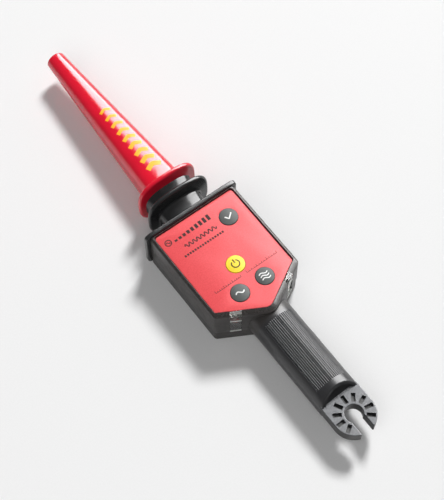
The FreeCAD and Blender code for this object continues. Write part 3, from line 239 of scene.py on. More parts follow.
class Nodes:
    """Short way to build a material's node tree."""

    def __init__(self, name):
        self.material = bpy.data.materials.new(name)
        self.material.use_nodes = True
        self.tree = self.material.node_tree
        self.shader = self.tree.nodes["Principled BSDF"]

    def add(self, kind, **settings):
        node = self.tree.nodes.new(kind)
        for key, value in settings.items():
            setattr(node, key, value)
        return node

    def link(self, out, into):
        self.tree.links.new(out, into)

    def put(self, value, socket):
        """Give a socket a plain value, or link another node's output to it."""
        if isinstance(value, bpy.types.NodeSocket):
            self.link(value, socket)
        else:
            socket.default_value = value

    def give(self, **values):
        """Give the shader's own sockets values or outputs, with _ for each space in a name."""
        for key, value in values.items():
            self.put(value, self.shader.inputs[key.replace("_", " ")])

    def place_texture(self):
        return self.add("ShaderNodeTexCoord").outputs["Object"]

    def along(self, axis):
        """Place along one axis, in metres."""
        node = self.add("ShaderNodeSeparateXYZ")
        self.link(self.place_texture(), node.inputs["Vector"])
        return node.outputs[axis]

    def noise(self, scale, detail=3.0, roughness=0.55, stretch=None):
        """Noise with a scale in cells per metre, optionally stretched along the axes."""
        source = self.place_texture()
        if stretch:
            mapping = self.add("ShaderNodeMapping")
            mapping.inputs["Scale"].default_value = stretch
            self.link(source, mapping.inputs["Vector"])
            source = mapping.outputs["Vector"]
        node = self.add("ShaderNodeTexNoise")
        node.inputs["Scale"].default_value = scale
        node.inputs["Detail"].default_value = detail
        node.inputs["Roughness"].default_value = roughness
        self.link(source, node.inputs["Vector"])
        return node.outputs["Fac"]

    def ramp(self, factor, low, high, start=0.3, end=0.7):
        """Map a factor to a range of values or colours."""
        node = self.add("ShaderNodeValToRGB")
        first, second = node.color_ramp.elements
        first.position, second.position = start, end
        first.color = colour(low)
        second.color = colour(high)
        self.link(factor, node.inputs["Fac"])
        return node.outputs["Color"]

    def map_range(self, value, low, high, first=0.0, last=1.0):
        """Map a value between low and high to one between first and last."""
        node = self.add("ShaderNodeMapRange")
        for key, number in (("From Min", low), ("From Max", high), ("To Min", first), ("To Max", last)):
            node.inputs[key].default_value = number
        self.link(value, node.inputs["Value"])
        return node.outputs["Result"]

    def mix(self, kind, share, first, second):
        """Blend two colours (kind RGBA) or two values (kind FLOAT)."""
        node = self.add("ShaderNodeMix", data_type=kind)
        a, b, out = MIX_SOCKETS[kind]
        self.link(share, node.inputs["Factor"])
        self.link(first, node.inputs[a])
        self.link(second, node.inputs[b])
        return node.outputs[out]

    def bump(self, height, strength, distance):
        """Normal of a rough surface whose height is given in millimetres."""
        node = self.add("ShaderNodeBump")
        self.put(strength, node.inputs["Strength"])
        node.inputs["Distance"].default_value = distance * MM
        self.link(height, node.inputs["Height"])
        return node.outputs["Normal"]


def colour(value):
    """Grey level or (r, g, b) as four numbers."""
    if isinstance(value, (int, float)):
        value = (value, value, value)
    return (*value, 1.0)


def scaled(base, factor):
    """Colour made lighter or darker."""
    return tuple(min(1.0, c * factor) for c in base)


# noises that several finishes share: cells per metre, detail and roughness
PATCHES = (60.0, 4.0)
WEAR = (220.0, 5.0, 0.65)
RUBBED = (900.0, 4.0, 0.6)


def grain_noise(nodes, size):
    """Fine noise whose grains have a size in millimetres."""
    return nodes.noise(1.0 / (size * MM), 3.0, 0.6)


def plastic(name, base, spread, rough, grain, grain_size, specular=0.5, coat=0.0):
    """Moulded plastic: slightly uneven colour and gloss over a fine texture.

    base is the colour, spread how far it varies, rough the lowest and highest roughness, grain the
    height of the texture in millimetres and grain_size the width of one grain in millimetres.
    """
    nodes = Nodes(name)
    nodes.give(
        Base_Color=nodes.ramp(nodes.noise(*PATCHES), scaled(base, 1 - spread), scaled(base, 1 + spread)),
        Roughness=nodes.ramp(nodes.noise(*WEAR), *rough),
        Normal=nodes.bump(grain_noise(nodes, grain_size), 0.6, grain),
        Specular_IOR_Level=specular,
        Coat_Weight=coat,
        Coat_Roughness=0.06,
    )
    return nodes.material


def shell_material():
    """Housing plastic: finely textured and matt on the head, smoother and darker along the grip.

    The bezel, above the head's walls, is a little glossier than the walls.
    """
    nodes = Nodes("shell_grey")
    on_grip = nodes.map_range(nodes.along("Y"), (GROOVE_START_Y + 3.5) * MM, (GROOVE_START_Y + 0.5) * MM)
    on_bezel = nodes.map_range(nodes.along("Z"), (RIM_LOW_Z - 0.1) * MM, (RIM_LOW_Z + 0.3) * MM)
    patches = nodes.noise(*PATCHES)
    wear = nodes.noise(*WEAR)
    head = nodes.ramp(patches, (0.036, 0.032, 0.030), (0.046, 0.042, 0.040))
    grip = nodes.ramp(patches, (0.027, 0.027, 0.029), (0.033, 0.033, 0.035))
    walls = nodes.mix("FLOAT", on_grip, nodes.ramp(wear, 0.34, 0.46), nodes.ramp(wear, 0.29, 0.31))
    strength = nodes.map_range(on_grip, 0.0, 1.0, 0.35, 0.15)
    nodes.give(
        Base_Color=nodes.mix("RGBA", on_grip, head, grip),
        Roughness=nodes.mix("FLOAT", on_bezel, walls, nodes.ramp(wear, 0.24, 0.30)),
        Normal=nodes.bump(grain_noise(nodes, 0.35), strength, 0.025),
        Specular_IOR_Level=0.5,
    )
    return nodes.material


def spline_material():
    """Spline plate: paler, rubbed faces whose colour is partly a painted sheen, and darker plastic on the
    rims and as painted shade in the grooves.
    """
    nodes = Nodes("spline_plastic")
    middle = (SPLINE_LOW.z + SPLINE_HIGH.z) / 2
    half = SPLINE_HIGH.z - middle
    above = nodes.add("ShaderNodeMath", operation="SUBTRACT")
    above.inputs[1].default_value = middle * MM
    nodes.link(nodes.along("Z"), above.inputs[0])
    away = nodes.add("ShaderNodeMath", operation="ABSOLUTE")
    nodes.link(above.outputs[0], away.inputs[0])
    # 1 on the plate's faces, 0 below them on the rims and in the grooves, where the darker colour is
    # painted shade
    on_face = nodes.map_range(away.outputs[0], (half - 0.35) * MM, (half - 0.15) * MM)
    rubbed = nodes.noise(*RUBBED)
    # the faces' colour is raised to paint part of their sheen; the darker colour paints the shade deep in
    # the grooves
    face_colour_and_sheen = nodes.ramp(rubbed, (0.075, 0.078, 0.085), (0.120, 0.124, 0.132))
    rim_colour_and_groove_shade = nodes.ramp(rubbed, (0.016, 0.016, 0.016), (0.022, 0.022, 0.022))
    nodes.give(
        Base_Color=nodes.mix("RGBA", on_face, rim_colour_and_groove_shade, face_colour_and_sheen),
        Roughness=nodes.ramp(rubbed, 0.32, 0.44),
        Normal=nodes.bump(rubbed, 0.5, 0.06),
        Specular_IOR_Level=0.7,
    )
    return nodes.material


def label_material():
    """Printed film with a pebbled surface, each pebble a little lighter or darker."""
    nodes = Nodes("label_red")
    pebbles = nodes.noise(1300.0, 2.0, 0.5)
    nodes.give(
        Base_Color=nodes.ramp(pebbles, (0.76, 0.070, 0.079), (0.84, 0.094, 0.105)),
        Roughness=nodes.ramp(nodes.noise(*WEAR), 0.34, 0.44),
        Normal=nodes.bump(pebbles, 0.6, 0.09),
        Specular_IOR_Level=0.28,
    )
    return nodes.material


def metal(name, base):
    """Brushed metal, slightly uneven in colour."""
    nodes = Nodes(name)
    brushed = nodes.noise(*RUBBED, (1.0, 0.12, 1.0))
    nodes.give(
        Base_Color=nodes.ramp(nodes.noise(120.0), scaled(base, 0.85), base),
        Roughness=nodes.ramp(brushed, 0.22, 0.38),
        Normal=nodes.bump(brushed, 0.3, 0.03),
        Metallic=1.0,
    )
    return nodes.material


def clear(name, tint, rough, weight):
    """Clear moulded plastic with faint flow lines."""
    nodes = Nodes(name)
    flow = nodes.noise(140.0, 3.0, 0.5, (1.0, 1.0, 0.25))
    nodes.give(
        Base_Color=nodes.ramp(flow, scaled(tint, 0.9), tint),
        Roughness=nodes.ramp(flow, rough, rough * 2.2),
        Normal=nodes.bump(flow, 0.2, 0.05),
        IOR=1.49,
        Transmission_Weight=weight,
    )
    return nodes.material


def board_material():
    """Green lacquer over a woven base, with copper tracks showing as lighter lines."""
    nodes = Nodes("board_green")
    weave = nodes.noise(2600.0, 2.0)
    tracks = nodes.add("ShaderNodeTexBrick")
    tracks.inputs["Scale"].default_value = 160.0
    tracks.inputs["Mortar Size"].default_value = 0.06
    tracks.inputs["Color1"].default_value = colour((0.012, 0.13, 0.055))
    tracks.inputs["Color2"].default_value = colour((0.015, 0.16, 0.07))
    tracks.inputs["Mortar"].default_value = colour((0.05, 0.30, 0.13))
    nodes.link(nodes.place_texture(), tracks.inputs["Vector"])
    nodes.give(
        Base_Color=tracks.outputs["Color"],
        Roughness=nodes.ramp(weave, 0.25, 0.4),
        Normal=nodes.bump(weave, 0.3, 0.03),
    )
    return nodes.material


# colour, spread, roughness, grain height and size, then specular level and coat where they're not usual
PLASTICS = {
    "grip_black": ((0.022, 0.022, 0.023), 0.15, (0.16, 0.26), 0.012, 0.8),
    # near-black finish that paints the shade on the grip's end wall
    "end_shade_black": ((0.013, 0.013, 0.014), 0.12, (0.45, 0.55), 0.02, 0.3, 0.25),
    "cone_red": ((0.74, 0.006, 0.029), 0.04, (0.14, 0.20), 0.008, 1.2, 0.5, 0.35),
    "key_grey": ((0.055, 0.061, 0.059), 0.08, (0.45, 0.58), 0.02, 0.25, 0.3),
    "key_yellow": ((0.90, 0.70, 0.020), 0.03, (0.45, 0.58), 0.02, 0.25, 0.3),
    "mark_dark": ((0.045, 0.022, 0.021), 0.15, (0.60, 0.75), 0.01, 0.3, 0.12),
    "mark_white": ((0.80, 0.80, 0.78), 0.03, (0.40, 0.55), 0.01, 0.3),
    "mark_yellow": ((0.93, 0.45, 0.002), 0.03, (0.35, 0.45), 0.01, 0.3, 0.25),
    "plunger_plastic": ((0.75, 0.74, 0.70), 0.04, (0.35, 0.5), 0.02, 0.3),
    "switch_black": ((0.03, 0.03, 0.03), 0.15, (0.4, 0.55), 0.02, 0.3),
    "chip_black": ((0.025, 0.025, 0.028), 0.15, (0.45, 0.6), 0.02, 0.15),
    "component_brown": ((0.45, 0.36, 0.26), 0.15, (0.35, 0.5), 0.02, 0.2),
    "buzzer_black": ((0.03, 0.03, 0.03), 0.15, (0.35, 0.5), 0.03, 0.3),
    "support_plastic": ((0.80, 0.79, 0.75), 0.04, (0.35, 0.5), 0.02, 0.3),
    "lead_pvc": ((0.50, 0.03, 0.02), 0.08, (0.3, 0.45), 0.02, 0.5),
    "battery_case": ((0.06, 0.08, 0.13), 0.15, (0.25, 0.38), 0.01, 0.6),
    "snap_black": ((0.03, 0.03, 0.03), 0.15, (0.4, 0.55), 0.02, 0.3),
    "foam_grey": ((0.16, 0.16, 0.17), 0.20, (0.8, 0.95), 0.25, 0.5),
    "seal_rubber": ((0.02, 0.02, 0.02), 0.15, (0.5, 0.65), 0.02, 0.3),
}
METALS = {
    "can_steel": (0.62, 0.62, 0.63),
    "electrode_brass": (0.72, 0.52, 0.24),
    "screw_steel": (0.60, 0.60, 0.62),
}
# tint, roughness and share of light let through
CLEAR_PLASTICS = {
    "window_clear": ((0.86, 0.86, 0.83), 0.03, 0.97),
    # near-white frosted finish of the windows' ridges, a painted highlight line
    "window_frost_highlight": ((0.90, 0.92, 0.88), 0.22, 0.35),
    "led_red": ((0.75, 0.06, 0.04), 0.06, 0.6),
}
MATERIALS = {
    "shell_grey": shell_material(),
    "spline_plastic": spline_material(),
    "label_red": label_material(),
    "board_green": board_material(),
}
MATERIALS.update({name: plastic(name, *finish) for name, finish in PLASTICS.items()})
MATERIALS.update({name: metal(name, base) for name, base in METALS.items()})
MATERIALS.update({name: clear(name, *finish) for name, finish in CLEAR_PLASTICS.items()})


def dress_cad_nodes():
    """Every CAD node takes the procedural material of its own slot."""
    slots = {part["node"]: part["material_slot"] for part in frame["record"]["subparts"]}
    for name, obj in frame["nodes"].items():
        obj.data.materials.clear()
        obj.data.materials.append(MATERIALS[slots[name]])


# ---------------------------------------------------------------- head

def head_outline(side, slant, top, side_round, point_round):
    """The head's five-sided outline, moved inwards by an inset on each kind of wall."""
    shift = slant / math.cos(SLANT)
    half = HEAD_HALF - side
    corner_y = HEAD_CORNER_Y + shift - side * SLOPE
    point_y = HEAD_POINT_Y + shift
    top_y = HEAD_TOP_Y - top
    top_round = 0.3
    return rounded([(-half, top_y, top_round), (-half, corner_y, side_round), (0, point_y, point_round),
                    (half, corner_y, side_round), (half, top_y, top_round)])


def label_outline(grow):
    """The label's outline, grown outwards by the same amount all round."""
    top_round, side_round, point_round = 2.0, 1.2, 6.0
    half = LABEL_HALF + grow
    point_y = LABEL_CORNER_Y - LABEL_HALF * SLOPE - grow / math.cos(SLANT)
    corner_y = LABEL_CORNER_Y - grow * (1 / math.cos(SLANT) - SLOPE)
    top = LABEL_TOP_Y + grow
    return rounded([(-half, top, top_round), (-half, corner_y, side_round), (0, point_y, point_round),
                    (half, corner_y, side_round), (half, top, top_round)])


KEY_PLACES = {
    "power": (0.0, -39.4),
    "test": (17.3, -8.8),
    "low_range": (-10.0, -57.5),
    "high_range": (10.0, -57.5),
}
KEY_RADIUS = 6.35
KEY_GAP = 0.2
KEY_HOLE = KEY_RADIUS + KEY_GAP


def head_blank():
    """Walls, bezel and label recess of the front shell as one skin."""
    # height, insets of the sides, slanted walls and top, then roundings of the side corners and the point
    levels = [
        (SPLIT_Z, 0.35, 0.35, 0.0, 3.0, 9.0),
        (SPLIT_Z + 0.12, 0.12, 0.12, 0.0, 3.0, 9.0),
        (SPLIT_Z + 0.4, 0.0, 0.0, 0.0, 3.0, 9.0),
        (RIM_LOW_Z - 0.5, 0.0, 0.0, 0.0, 3.0, 9.0),
        (RIM_LOW_Z - 0.15, 0.05, 0.08, 0.0, 3.0, 9.0),
        (RIM_LOW_Z + 0.08, 0.22, 0.35, 0.0, 2.9, 8.8),
        (RIM_HIGH_Z - 0.22, 1.25, 3.0, 0.1, 2.3, 7.7),
        (RIM_HIGH_Z - 0.05, 1.5, 3.35, 0.2, 2.2, 7.5),
        (RIM_HIGH_Z, 1.62, 3.5, 0.25, 2.1, 7.4),
    ]
    # height and gap to the label's outline
    recess = [
        (RIM_HIGH_Z - 0.04, 0.62),
        (RIM_HIGH_Z - 0.20, 0.52),
        (LABEL_Z + 0.1, 0.32),
        (LABEL_Z - LABEL_THICK - 0.25, 0.28),
    ]
    rings = [at_z(head_outline(*shape), z) for z, *shape in levels]
    rings += [at_z(label_outline(gap), z) for z, gap in recess]
    return loft("front_housing_shell", rings)


# ---------------------------------------------------------------- grip

def groove_depth(angle):
    """Depth of the grip's grooves at an angle from its top, in degrees."""
    nearest = round(angle / GROOVE_PITCH)
    if abs(nearest) > GROOVES_EACH_SIDE:
        return 0.0
    away = abs(angle - nearest * GROOVE_PITCH) / GROOVE_PITCH
    return GROOVE_DEPTH * max(0.0, 1.0 - away / GROOVE_HALF_WIDTH)


def grip_arc(radius, steps):
    """Angles in degrees from the shells' joint on one side, over the grip's top, to the other side."""
    limit = 90.0 + math.degrees(math.asin((GRIP_Z - SPLIT_Z) / radius))
    return [-limit + 2 * limit * i / steps for i in range(steps + 1)]


def grip_point(angle, radius):
    """Point of the grip's section at an angle in degrees from its top, no lower than the joint."""
    turn = math.radians(angle)
    return radius * math.sin(turn), max(GRIP_Z + radius * math.cos(turn), SPLIT_Z)


def grip_section(shrink, groove):
    """Section of the grip above the joint of the shells: outer arc, then inner arc back."""
    outer_steps, inner_steps = 430, 40
    joint_gap = 0.3
    outer = []
    for i, angle in enumerate(grip_arc(GRIP_RADIUS, outer_steps)):
        reach = GRIP_RADIUS - shrink - groove_depth(angle) * groove
        if i in (0, outer_steps):
            reach -= joint_gap
        outer.append(grip_point(angle, reach))
    inner = [grip_point(-angle, GRIP_BORE) for angle in grip_arc(GRIP_BORE, inner_steps)]
    return outer + inner


def end_lean(z):
    """How far the grip's end face has leaned back at a height."""
    return max(0.0, z - SPLINE_HIGH.z) * END_LEAN


def grip_upper():
    """Upper part of the grip, with its grooves and its sloping end."""
    lead, run_out, edge = 0.4, 0.5, 0.7
    # place along the grip, and share of the grooves' depth there
    stations = [
        (HEAD_CORNER_Y - 9.0, 0.0), (GROOVE_START_Y + lead, 0.0), (GROOVE_START_Y, 0.0),
        (GROOVE_START_Y - run_out, 1.0), (GROOVE_END_Y + run_out, 1.0), (GROOVE_END_Y, 0.0),
        (GROOVE_END_Y - lead, 0.0),
    ]
    rings = [at_y(grip_section(0.0, groove), y) for y, groove in stations]
    for turn in quarter(5):
        y = GRIP_END_Y + edge * (1 - math.sin(turn))
        section = grip_section(edge * (1 - math.cos(turn)), 0.0)
        rings.append([(x, y + end_lean(z), z) for x, z in section])
    return loft("grip_upper", rings, 30.0)


def grip_end_plate():
    """Sloping wall that closes the end of the grip above the spline plate."""
    overlap, joint_gap, setback = 0.3, 0.05, 0.02
    radius = GRIP_BORE + overlap
    points = [grip_point(angle, radius) for angle in grip_arc(radius, 48)]
    outline = [(x, max(SPLIT_Z + joint_gap, z)) for x, z in points]
    rings = [[(x, GRIP_END_Y + depth + end_lean(z), z) for x, z in outline] for depth in (setback, WALL)]
    return loft("grip_end_plate", rings)


# ---------------------------------------------------------------- windows

WINDOW_START = 9.7
WINDOW_WIDTH = 7.8
WINDOW_STEP_Z = 26.2
WINDOW_STEP = 0.7


def window_frame(side):
    """Matrix of a window: x along the slanted wall, y inwards, from the head's side corner."""
    angle = -SLANT if side < 0 else math.pi + SLANT
    matrix = Matrix.Rotation(angle, 4, "Z")
    matrix.translation = Vector((side * HEAD_HALF, HEAD_CORNER_Y, 0)) * MM
    return matrix


def window_slot(side):
    """Block that cuts a window's slot through the slanted wall and the bezel."""
    outward, inward, above = 3.0, 4.2, 1.0
    x0, x1 = WINDOW_START, WINDOW_START + WINDOW_WIDTH
    y0, y1 = outward * side, -inward * side
    outline = [(x0, y0), (x1, y0), (x1, y1), (x0, y1)]
    block = loft("window_block", [at_z(outline, SPLIT_Z - above), at_z(outline, RIM_HIGH_Z + above)])
    block.data.transform(window_frame(side))
    return block


def window_bar(side, name):
    """Clear bar bent over the edge of the bezel, with a step near its top."""
    low = SPLIT_Z + 0.1
    # depth from the wall's outer face, height and rounding
    profile = [
        (0.35, low, 0.2), (0.35, WINDOW_STEP_Z, 0.2), (0.1, WINDOW_STEP_Z + WINDOW_STEP, 0.15),
        (0.1, RIM_LOW_Z - 0.1, 0.35), (0.35, RIM_LOW_Z + 0.22, 0.25), (3.45, RIM_HIGH_Z + 0.08, 0.3),
        (3.65, LABEL_Z + 0.2, 0.2), (2.8, CEILING_Z + 0.3, 0.6), (WALL, low, 0.3),
    ]
    outline = rounded(profile, 5)
    middle = Vector((1.2, 24.0))
    # place in from the bar's end, and how far the section shrinks there
    ends = ((0.06, 0.2), (0.12, 0.07), (0.26, 0.0))
    stations = [(WINDOW_START + x, shrink) for x, shrink in ends]
    stations += [(WINDOW_START + WINDOW_WIDTH - x, shrink) for x, shrink in reversed(ends)]
    rings = []
    for along, shrink in stations:
        pulled = [p + (middle - p).normalized() * shrink for p in outline]
        rings.append([(along, -side * p.x, p.y) for p in pulled])
    bar = loft(name, rings, 30.0)
    bar.data.transform(window_frame(side))
    return bar


def highlight_ridge(side, name, low, high, proud):
    """Frosted ridge across a window, standing proud of the bar; its near-white tint is a painted highlight
    line.
    """
    deep, inset = 0.6, 0.15
    outline = rounded([(deep, low, 0.05), (-proud, low, 0.12), (-proud, high, 0.12), (deep, high, 0.05)], 3)
    ends = (WINDOW_START + inset, WINDOW_START + WINDOW_WIDTH - inset)
    ridge = loft(name, [[(along, -side * p.x, p.y) for p in outline] for along in ends], 30.0)
    ridge.data.transform(window_frame(side))
    return ridge


def build_windows():
    """Clear bar with two frosted ridges in each slanted wall; the ridges' near-white tint paints the
    highlight lines along the window's ledge and foot.
    """
    # name, low and high edge, and how far it stands proud
    ridges = (("_ledge", WINDOW_STEP_Z - 0.1, WINDOW_STEP_Z + 0.6, 0.05), ("_foot", 11.0, 12.0, 0.1))
    for side, name in ((-1, "led_window_left"), (1, "led_window_right")):
        bar = window_bar(side, name + "_bar")
        place(bar, BODY, "window_clear", MATERIALS["window_clear"], name)
        for ridge_name, low, high, proud in ridges:
            ridge = highlight_ridge(side, name + ridge_name, low, high, proud)
            place(ridge, BODY, "window_clear", MATERIALS["window_frost_highlight"])


def build_front_housing():
    """Front shell of the head, with cavity, window slots and key holes, and the grip's upper half."""
    inner_round, inner_point_round = 1.5, 6.8
    below, above = 2.0, 1.0
    shell = head_blank()
    hollow = head_outline(WALL, WALL, WALL, inner_round, inner_point_round)
    cut(shell, loft("cavity", [at_z(hollow, SPLIT_Z - below), at_z(hollow, CEILING_Z)]))
    for side in (-1, 1):
        cut(shell, window_slot(side))
    for x, y in KEY_PLACES.values():
        cut(shell, cylinder("key_hole", x, y, CEILING_Z - below, RIM_HIGH_Z + above, KEY_HOLE))
    smooth(shell, 30.0)
    place(shell, BODY, "shell_grey", MATERIALS["shell_grey"], "front_housing")
    place(grip_upper(), BODY, "shell_grey", MATERIALS["shell_grey"])
    # the end wall's near-black finish is painted shade
    place(grip_end_plate(), BODY, "shell_grey", MATERIALS["end_shade_black"])
    build_windows()


# ---------------------------------------------------------------- label and keys

def build_label():
    """Label with rounded edges and one hole for each key."""
    past = 2.0
    # height, and growth of the outline
    levels = [
        (LABEL_Z - LABEL_THICK - 0.24, -0.05), (LABEL_Z - 0.16, -0.05),
        (LABEL_Z - 0.05, -0.10), (LABEL_Z, -0.22),
    ]
    label = loft("label_plate", [at_z(label_outline(grow), z) for z, grow in levels])
    for x, y in KEY_PLACES.values():
        cut(label, cylinder("hole", x, y, LABEL_Z - past, LABEL_Z + past, KEY_HOLE, 96))
    smooth(label, 30.0)
    place(label, BODY, "label_red", MATERIALS["label_red"], "face_label")


KEY_EDGE_Z = LABEL_Z + 0.55
KEY_DOME = 0.55
SHOULDER = 0.45
SHOULDER_HEIGHT = 0.42


def key_top(distance):
    """Height of a key's domed top at a distance from its middle."""
    reach = KEY_RADIUS - SHOULDER
    return KEY_EDGE_Z + KEY_DOME * (1 - min(1.0, distance / reach) ** 2)


def build_key(name, x, y, slot):
    """Rubber key: nub, flange, skirt, rounded shoulder and a shallow dome."""
    nub, nub_z = 2.2, 29.6
    flange, low, high, chamfer = 7.6, 30.0, 31.1, 0.2
    base = KEY_EDGE_Z - SHOULDER_HEIGHT
    profile = [
        (0.0, nub_z), (nub, nub_z), (nub, low), (flange - chamfer, low), (flange, low + chamfer),
        (flange, high - chamfer), (flange - chamfer, high), (KEY_RADIUS, high), (KEY_RADIUS, base),
    ]
    for turn in quarter(6)[1:-1]:
        radius = KEY_RADIUS - SHOULDER * (1 - math.cos(turn))
        profile.append((radius, base + SHOULDER_HEIGHT * math.sin(turn)))
    dome_steps = 18
    for step in range(dome_steps + 1):
        distance = (KEY_RADIUS - SHOULDER) * (1 - step / dome_steps)
        profile.append((distance, key_top(distance)))
    key = lathe(name + "_key_cap", profile, x, y)
    place(key, name + "_button", slot, MATERIALS[slot], name + "_key")


def build_keys():
    """The yellow power key and the three grey ones."""
    for name, (x, y) in KEY_PLACES.items():
        build_key(name, x, y, "key_yellow" if name == "power" else "key_grey")


# ---------------------------------------------------------------- printed marks

MARK_SINK = 0.1


def stroke(path, width):
    """Left and right edges of a stroke along a path."""
    left, right = [], []
    for i, point in enumerate(path):
        before = Vector(path[max(i - 1, 0)])
        after = Vector(path[min(i + 1, len(path) - 1)])
        along = (after - before).normalized()
        across = Vector((-along.y, along.x)) * width / 2
        left.append(Vector(point) + across)
        right.append(Vector(point) - across)
    return left, right


def arc_path(x, y, radius, first, last, steps=24):
    span = [math.radians(first + (last - first) * i / steps) for i in range(steps + 1)]
    return [(x + radius * math.cos(a), y + radius * math.sin(a)) for a in span]


def wave_path(x, y, length, height, turns=1.0, steps=32):
    return [(x + length * (i / steps - 0.5), y + height * math.sin(2 * math.pi * turns * i / steps))
            for i in range(steps + 1)]


def line_path(x0, y0, x1, y1, steps=6):
    return [(x0 + (x1 - x0) * i / steps, y0 + (y1 - y0) * i / steps) for i in range(steps + 1)]


def printed(name, strokes, surface, body, slot, material, thick=0.05):
    """Thin printed marks: every stroke is (path, width), laid on a surface given by its height."""
    points = []
    faces = []
    for path, width in strokes:
        left, right = stroke(path, width)
        base = len(points)
        for a, b in zip(left, right):
            points += [surface(a.x, a.y, thick), surface(b.x, b.y, thick)]
            points += [surface(b.x, b.y, -MARK_SINK), surface(a.x, a.y, -MARK_SINK)]
        for i in range(len(path) - 1):
            here, ahead = base + 4 * i, base + 4 * (i + 1)
            for j in range(4):
                k = (j + 1) % 4
                faces.append((here + j, here + k, ahead + k, ahead + j))
        last = base + 4 * (len(path) - 1)
        faces.append((base + 3, base + 2, base + 1, base))
        faces.append((last, last + 1, last + 2, last + 3))
    obj = mesh_object(name, points, faces, 40.0)
    place(obj, body, slot, material)


def on_label(x, y, lift):
    return (x, y, LABEL_Z + lift)


def on_key(centre):
    def surface(x, y, lift):
        distance = math.hypot(x - centre[0], y - centre[1])
        return (x, y, key_top(distance) + lift)
    return surface


def key_mark(key, strokes, slot, material):
    """Symbol printed on a key."""
    printed(key + "_symbol", strokes, on_key(KEY_PLACES[key]), key + "_button", slot, MATERIALS[material])


def build_key_marks():
    """Plain symbols: power, a tick, one wave for the low range and three for the high range."""
    x, y = KEY_PLACES["power"]
    ring, bar = arc_path(x, y, 2.7, 125, 415), line_path(x, y + 0.6, x, y + 3.6)
    key_mark("power", [(ring, 0.75), (bar, 0.75)], "key_grey", "mark_dark")
    x, y = KEY_PLACES["test"]
    corner = (x - 0.7, y - 1.8)
    tick = line_path(x - 2.6, y + 0.9, *corner, 4) + line_path(*corner, x + 3.0, y + 1.4)[1:]
    key_mark("test", [(tick, 0.85)], "plunger_plastic", "mark_white")
    wave_length, wave_pitch = 6.4, 2.0
    x, y = KEY_PLACES["low_range"]
    key_mark("low_range", [(wave_path(x, y, wave_length, 1.0), 0.8)], "plunger_plastic", "mark_white")
    x, y = KEY_PLACES["high_range"]
    waves = [(wave_path(x, y + row * wave_pitch, wave_length, 0.7), 0.7) for row in (-1, 0, 1)]
    key_mark("high_range", waves, "plunger_plastic", "mark_white")


def ring_mark(x, y):
    """Small wave in a ring."""
    return [(arc_path(x, y, 2.15, 0, 360, 40), 0.7), (wave_path(x, y, 2.6, 0.75), 0.6)]


def level_bars(x, y, count):
    """Row of upright bars, each taller than the one before it."""
    pitch, width, lowest, rise = 3.35, 2.1, 1.5, 0.36
    places = [(x + i * pitch, y + (lowest + rise * i)) for i in range(count)]
    return [(line_path(place_x, y, place_x, top), width) for place_x, top in places]


def dash_row(x, y, count):
    pitch, length, width = 2.0, 1.25, 1.5
    return [(line_path(x + i * pitch, y, x + i * pitch + length, y), width) for i in range(count)]


def tick_scale(first, last, y):
    """Thin line with small upright ticks, every fourth one longer."""
    intervals, every = 12, 4
    strokes = []
    for i in range(intervals + 1):
        x = first + (last - first) * i / intervals
        height = 1.6 if i % every == 0 else 0.9
        strokes.append((line_path(x, y, x, y + height), 0.30))
    strokes.append((line_path(first, y - 0.1, last, y - 0.1, 12), 0.25))
    return strokes


def build_label_marks():
    """Plain marks: a wave in a ring, rising bars, a long wave, dashes, and a scale over each range key."""
    strokes = ring_mark(-25.9, -0.9) + level_bars(-20.6, -3.1, 9)
    strokes.append((wave_path(-6.0, -9.6, 25.0, 1.25, 8.0, 256), 0.75))
    strokes += dash_row(-23.0, -15.4, 16)
    for first, last in ((-22.5, -2.4), (2.4, 26.5)):
        strokes += tick_scale(first, last, -48.6)
    printed("label_marks", strokes, on_label, BODY, "key_grey", MATERIALS["mark_dark"], 0.04)


# ---------------------------------------------------------------- neck and cone

def soft_section(half, low, high, power, y, steps=96):
    """Closed section in X and Z between a rectangle (high power) and an ellipse (power 2)."""
    middle, tall = (low + high) / 2, (high - low) / 2
    points = []
    for i in range(steps):
        angle = 2 * math.pi * i / steps
        c, s = math.cos(angle), math.sin(angle)
        x = math.copysign(abs(c) ** (2 / power), c) * half
        z = math.copysign(abs(s) ** (2 / power), s) * tall
        points.append((x, y, middle + z))
    return points


def plate_rings(shape, start, thick, edge, steps=6):
    """Rings over both rounded rims of a flat plate with the given section."""
    def ring(y, shrink):
        half, low, high, power = shape
        return soft_section(half - shrink, low + shrink, high - shrink, power, y)

    first, second = [], []
    for turn in quarter(steps):
        inset, shrink = edge * (1 - math.cos(turn)), edge * (1 - math.sin(turn))
        first.append(ring(start + inset, shrink))
        second.insert(0, ring(start + thick - inset, shrink))
    return first + second


# half width, lowest and highest Z, and squareness of each section
NECK_SHAPE = (15.8, AXIS_Z - 12.0, AXIS_Z + 12.0, 2.9)
SHED_SHAPE = (24.1, 0.3, 43.6, 3.1)
SKIRT_SHAPE = (23.05, 0.3, 43.8, 3.0)
GUARD_SHAPE = (36.8, 2.9, 37.0, 14.0)
GUARD_THICK = 3.3
GUARD_EDGE = 0.8
GUARD_END_Y = NECK_LOW.y + GUARD_THICK
SHED_Y = 23.0
SHED_THICK = 3.4
SHED_EDGE = 1.6
SHED_END_Y = SHED_Y + SHED_THICK
FLARE_AT_SHED = 1.3
FLARE_AT_SKIRT = 2.6
ROOT_RADIUS = 1.4


def neck_flare(y):
    """Growth of the neck towards the plate on its cone side, so that each stretch is slightly waisted."""
    if y <= GUARD_END_Y:
        return 0.0
    if y <= SHED_Y:
        return FLARE_AT_SHED * ((y - GUARD_END_Y) / (SHED_Y - GUARD_END_Y)) ** 1.5
    share = (y - SHED_END_Y) / (CONE_LOW.y - SHED_END_Y)
    return FLARE_AT_SKIRT * max(0.0, share) ** 1.4


def neck_ring(y, grow=0.0):
    half, low, high, power = NECK_SHAPE
    grow += neck_flare(y)
    return soft_section(half + grow, low - grow, high + grow, power, y)


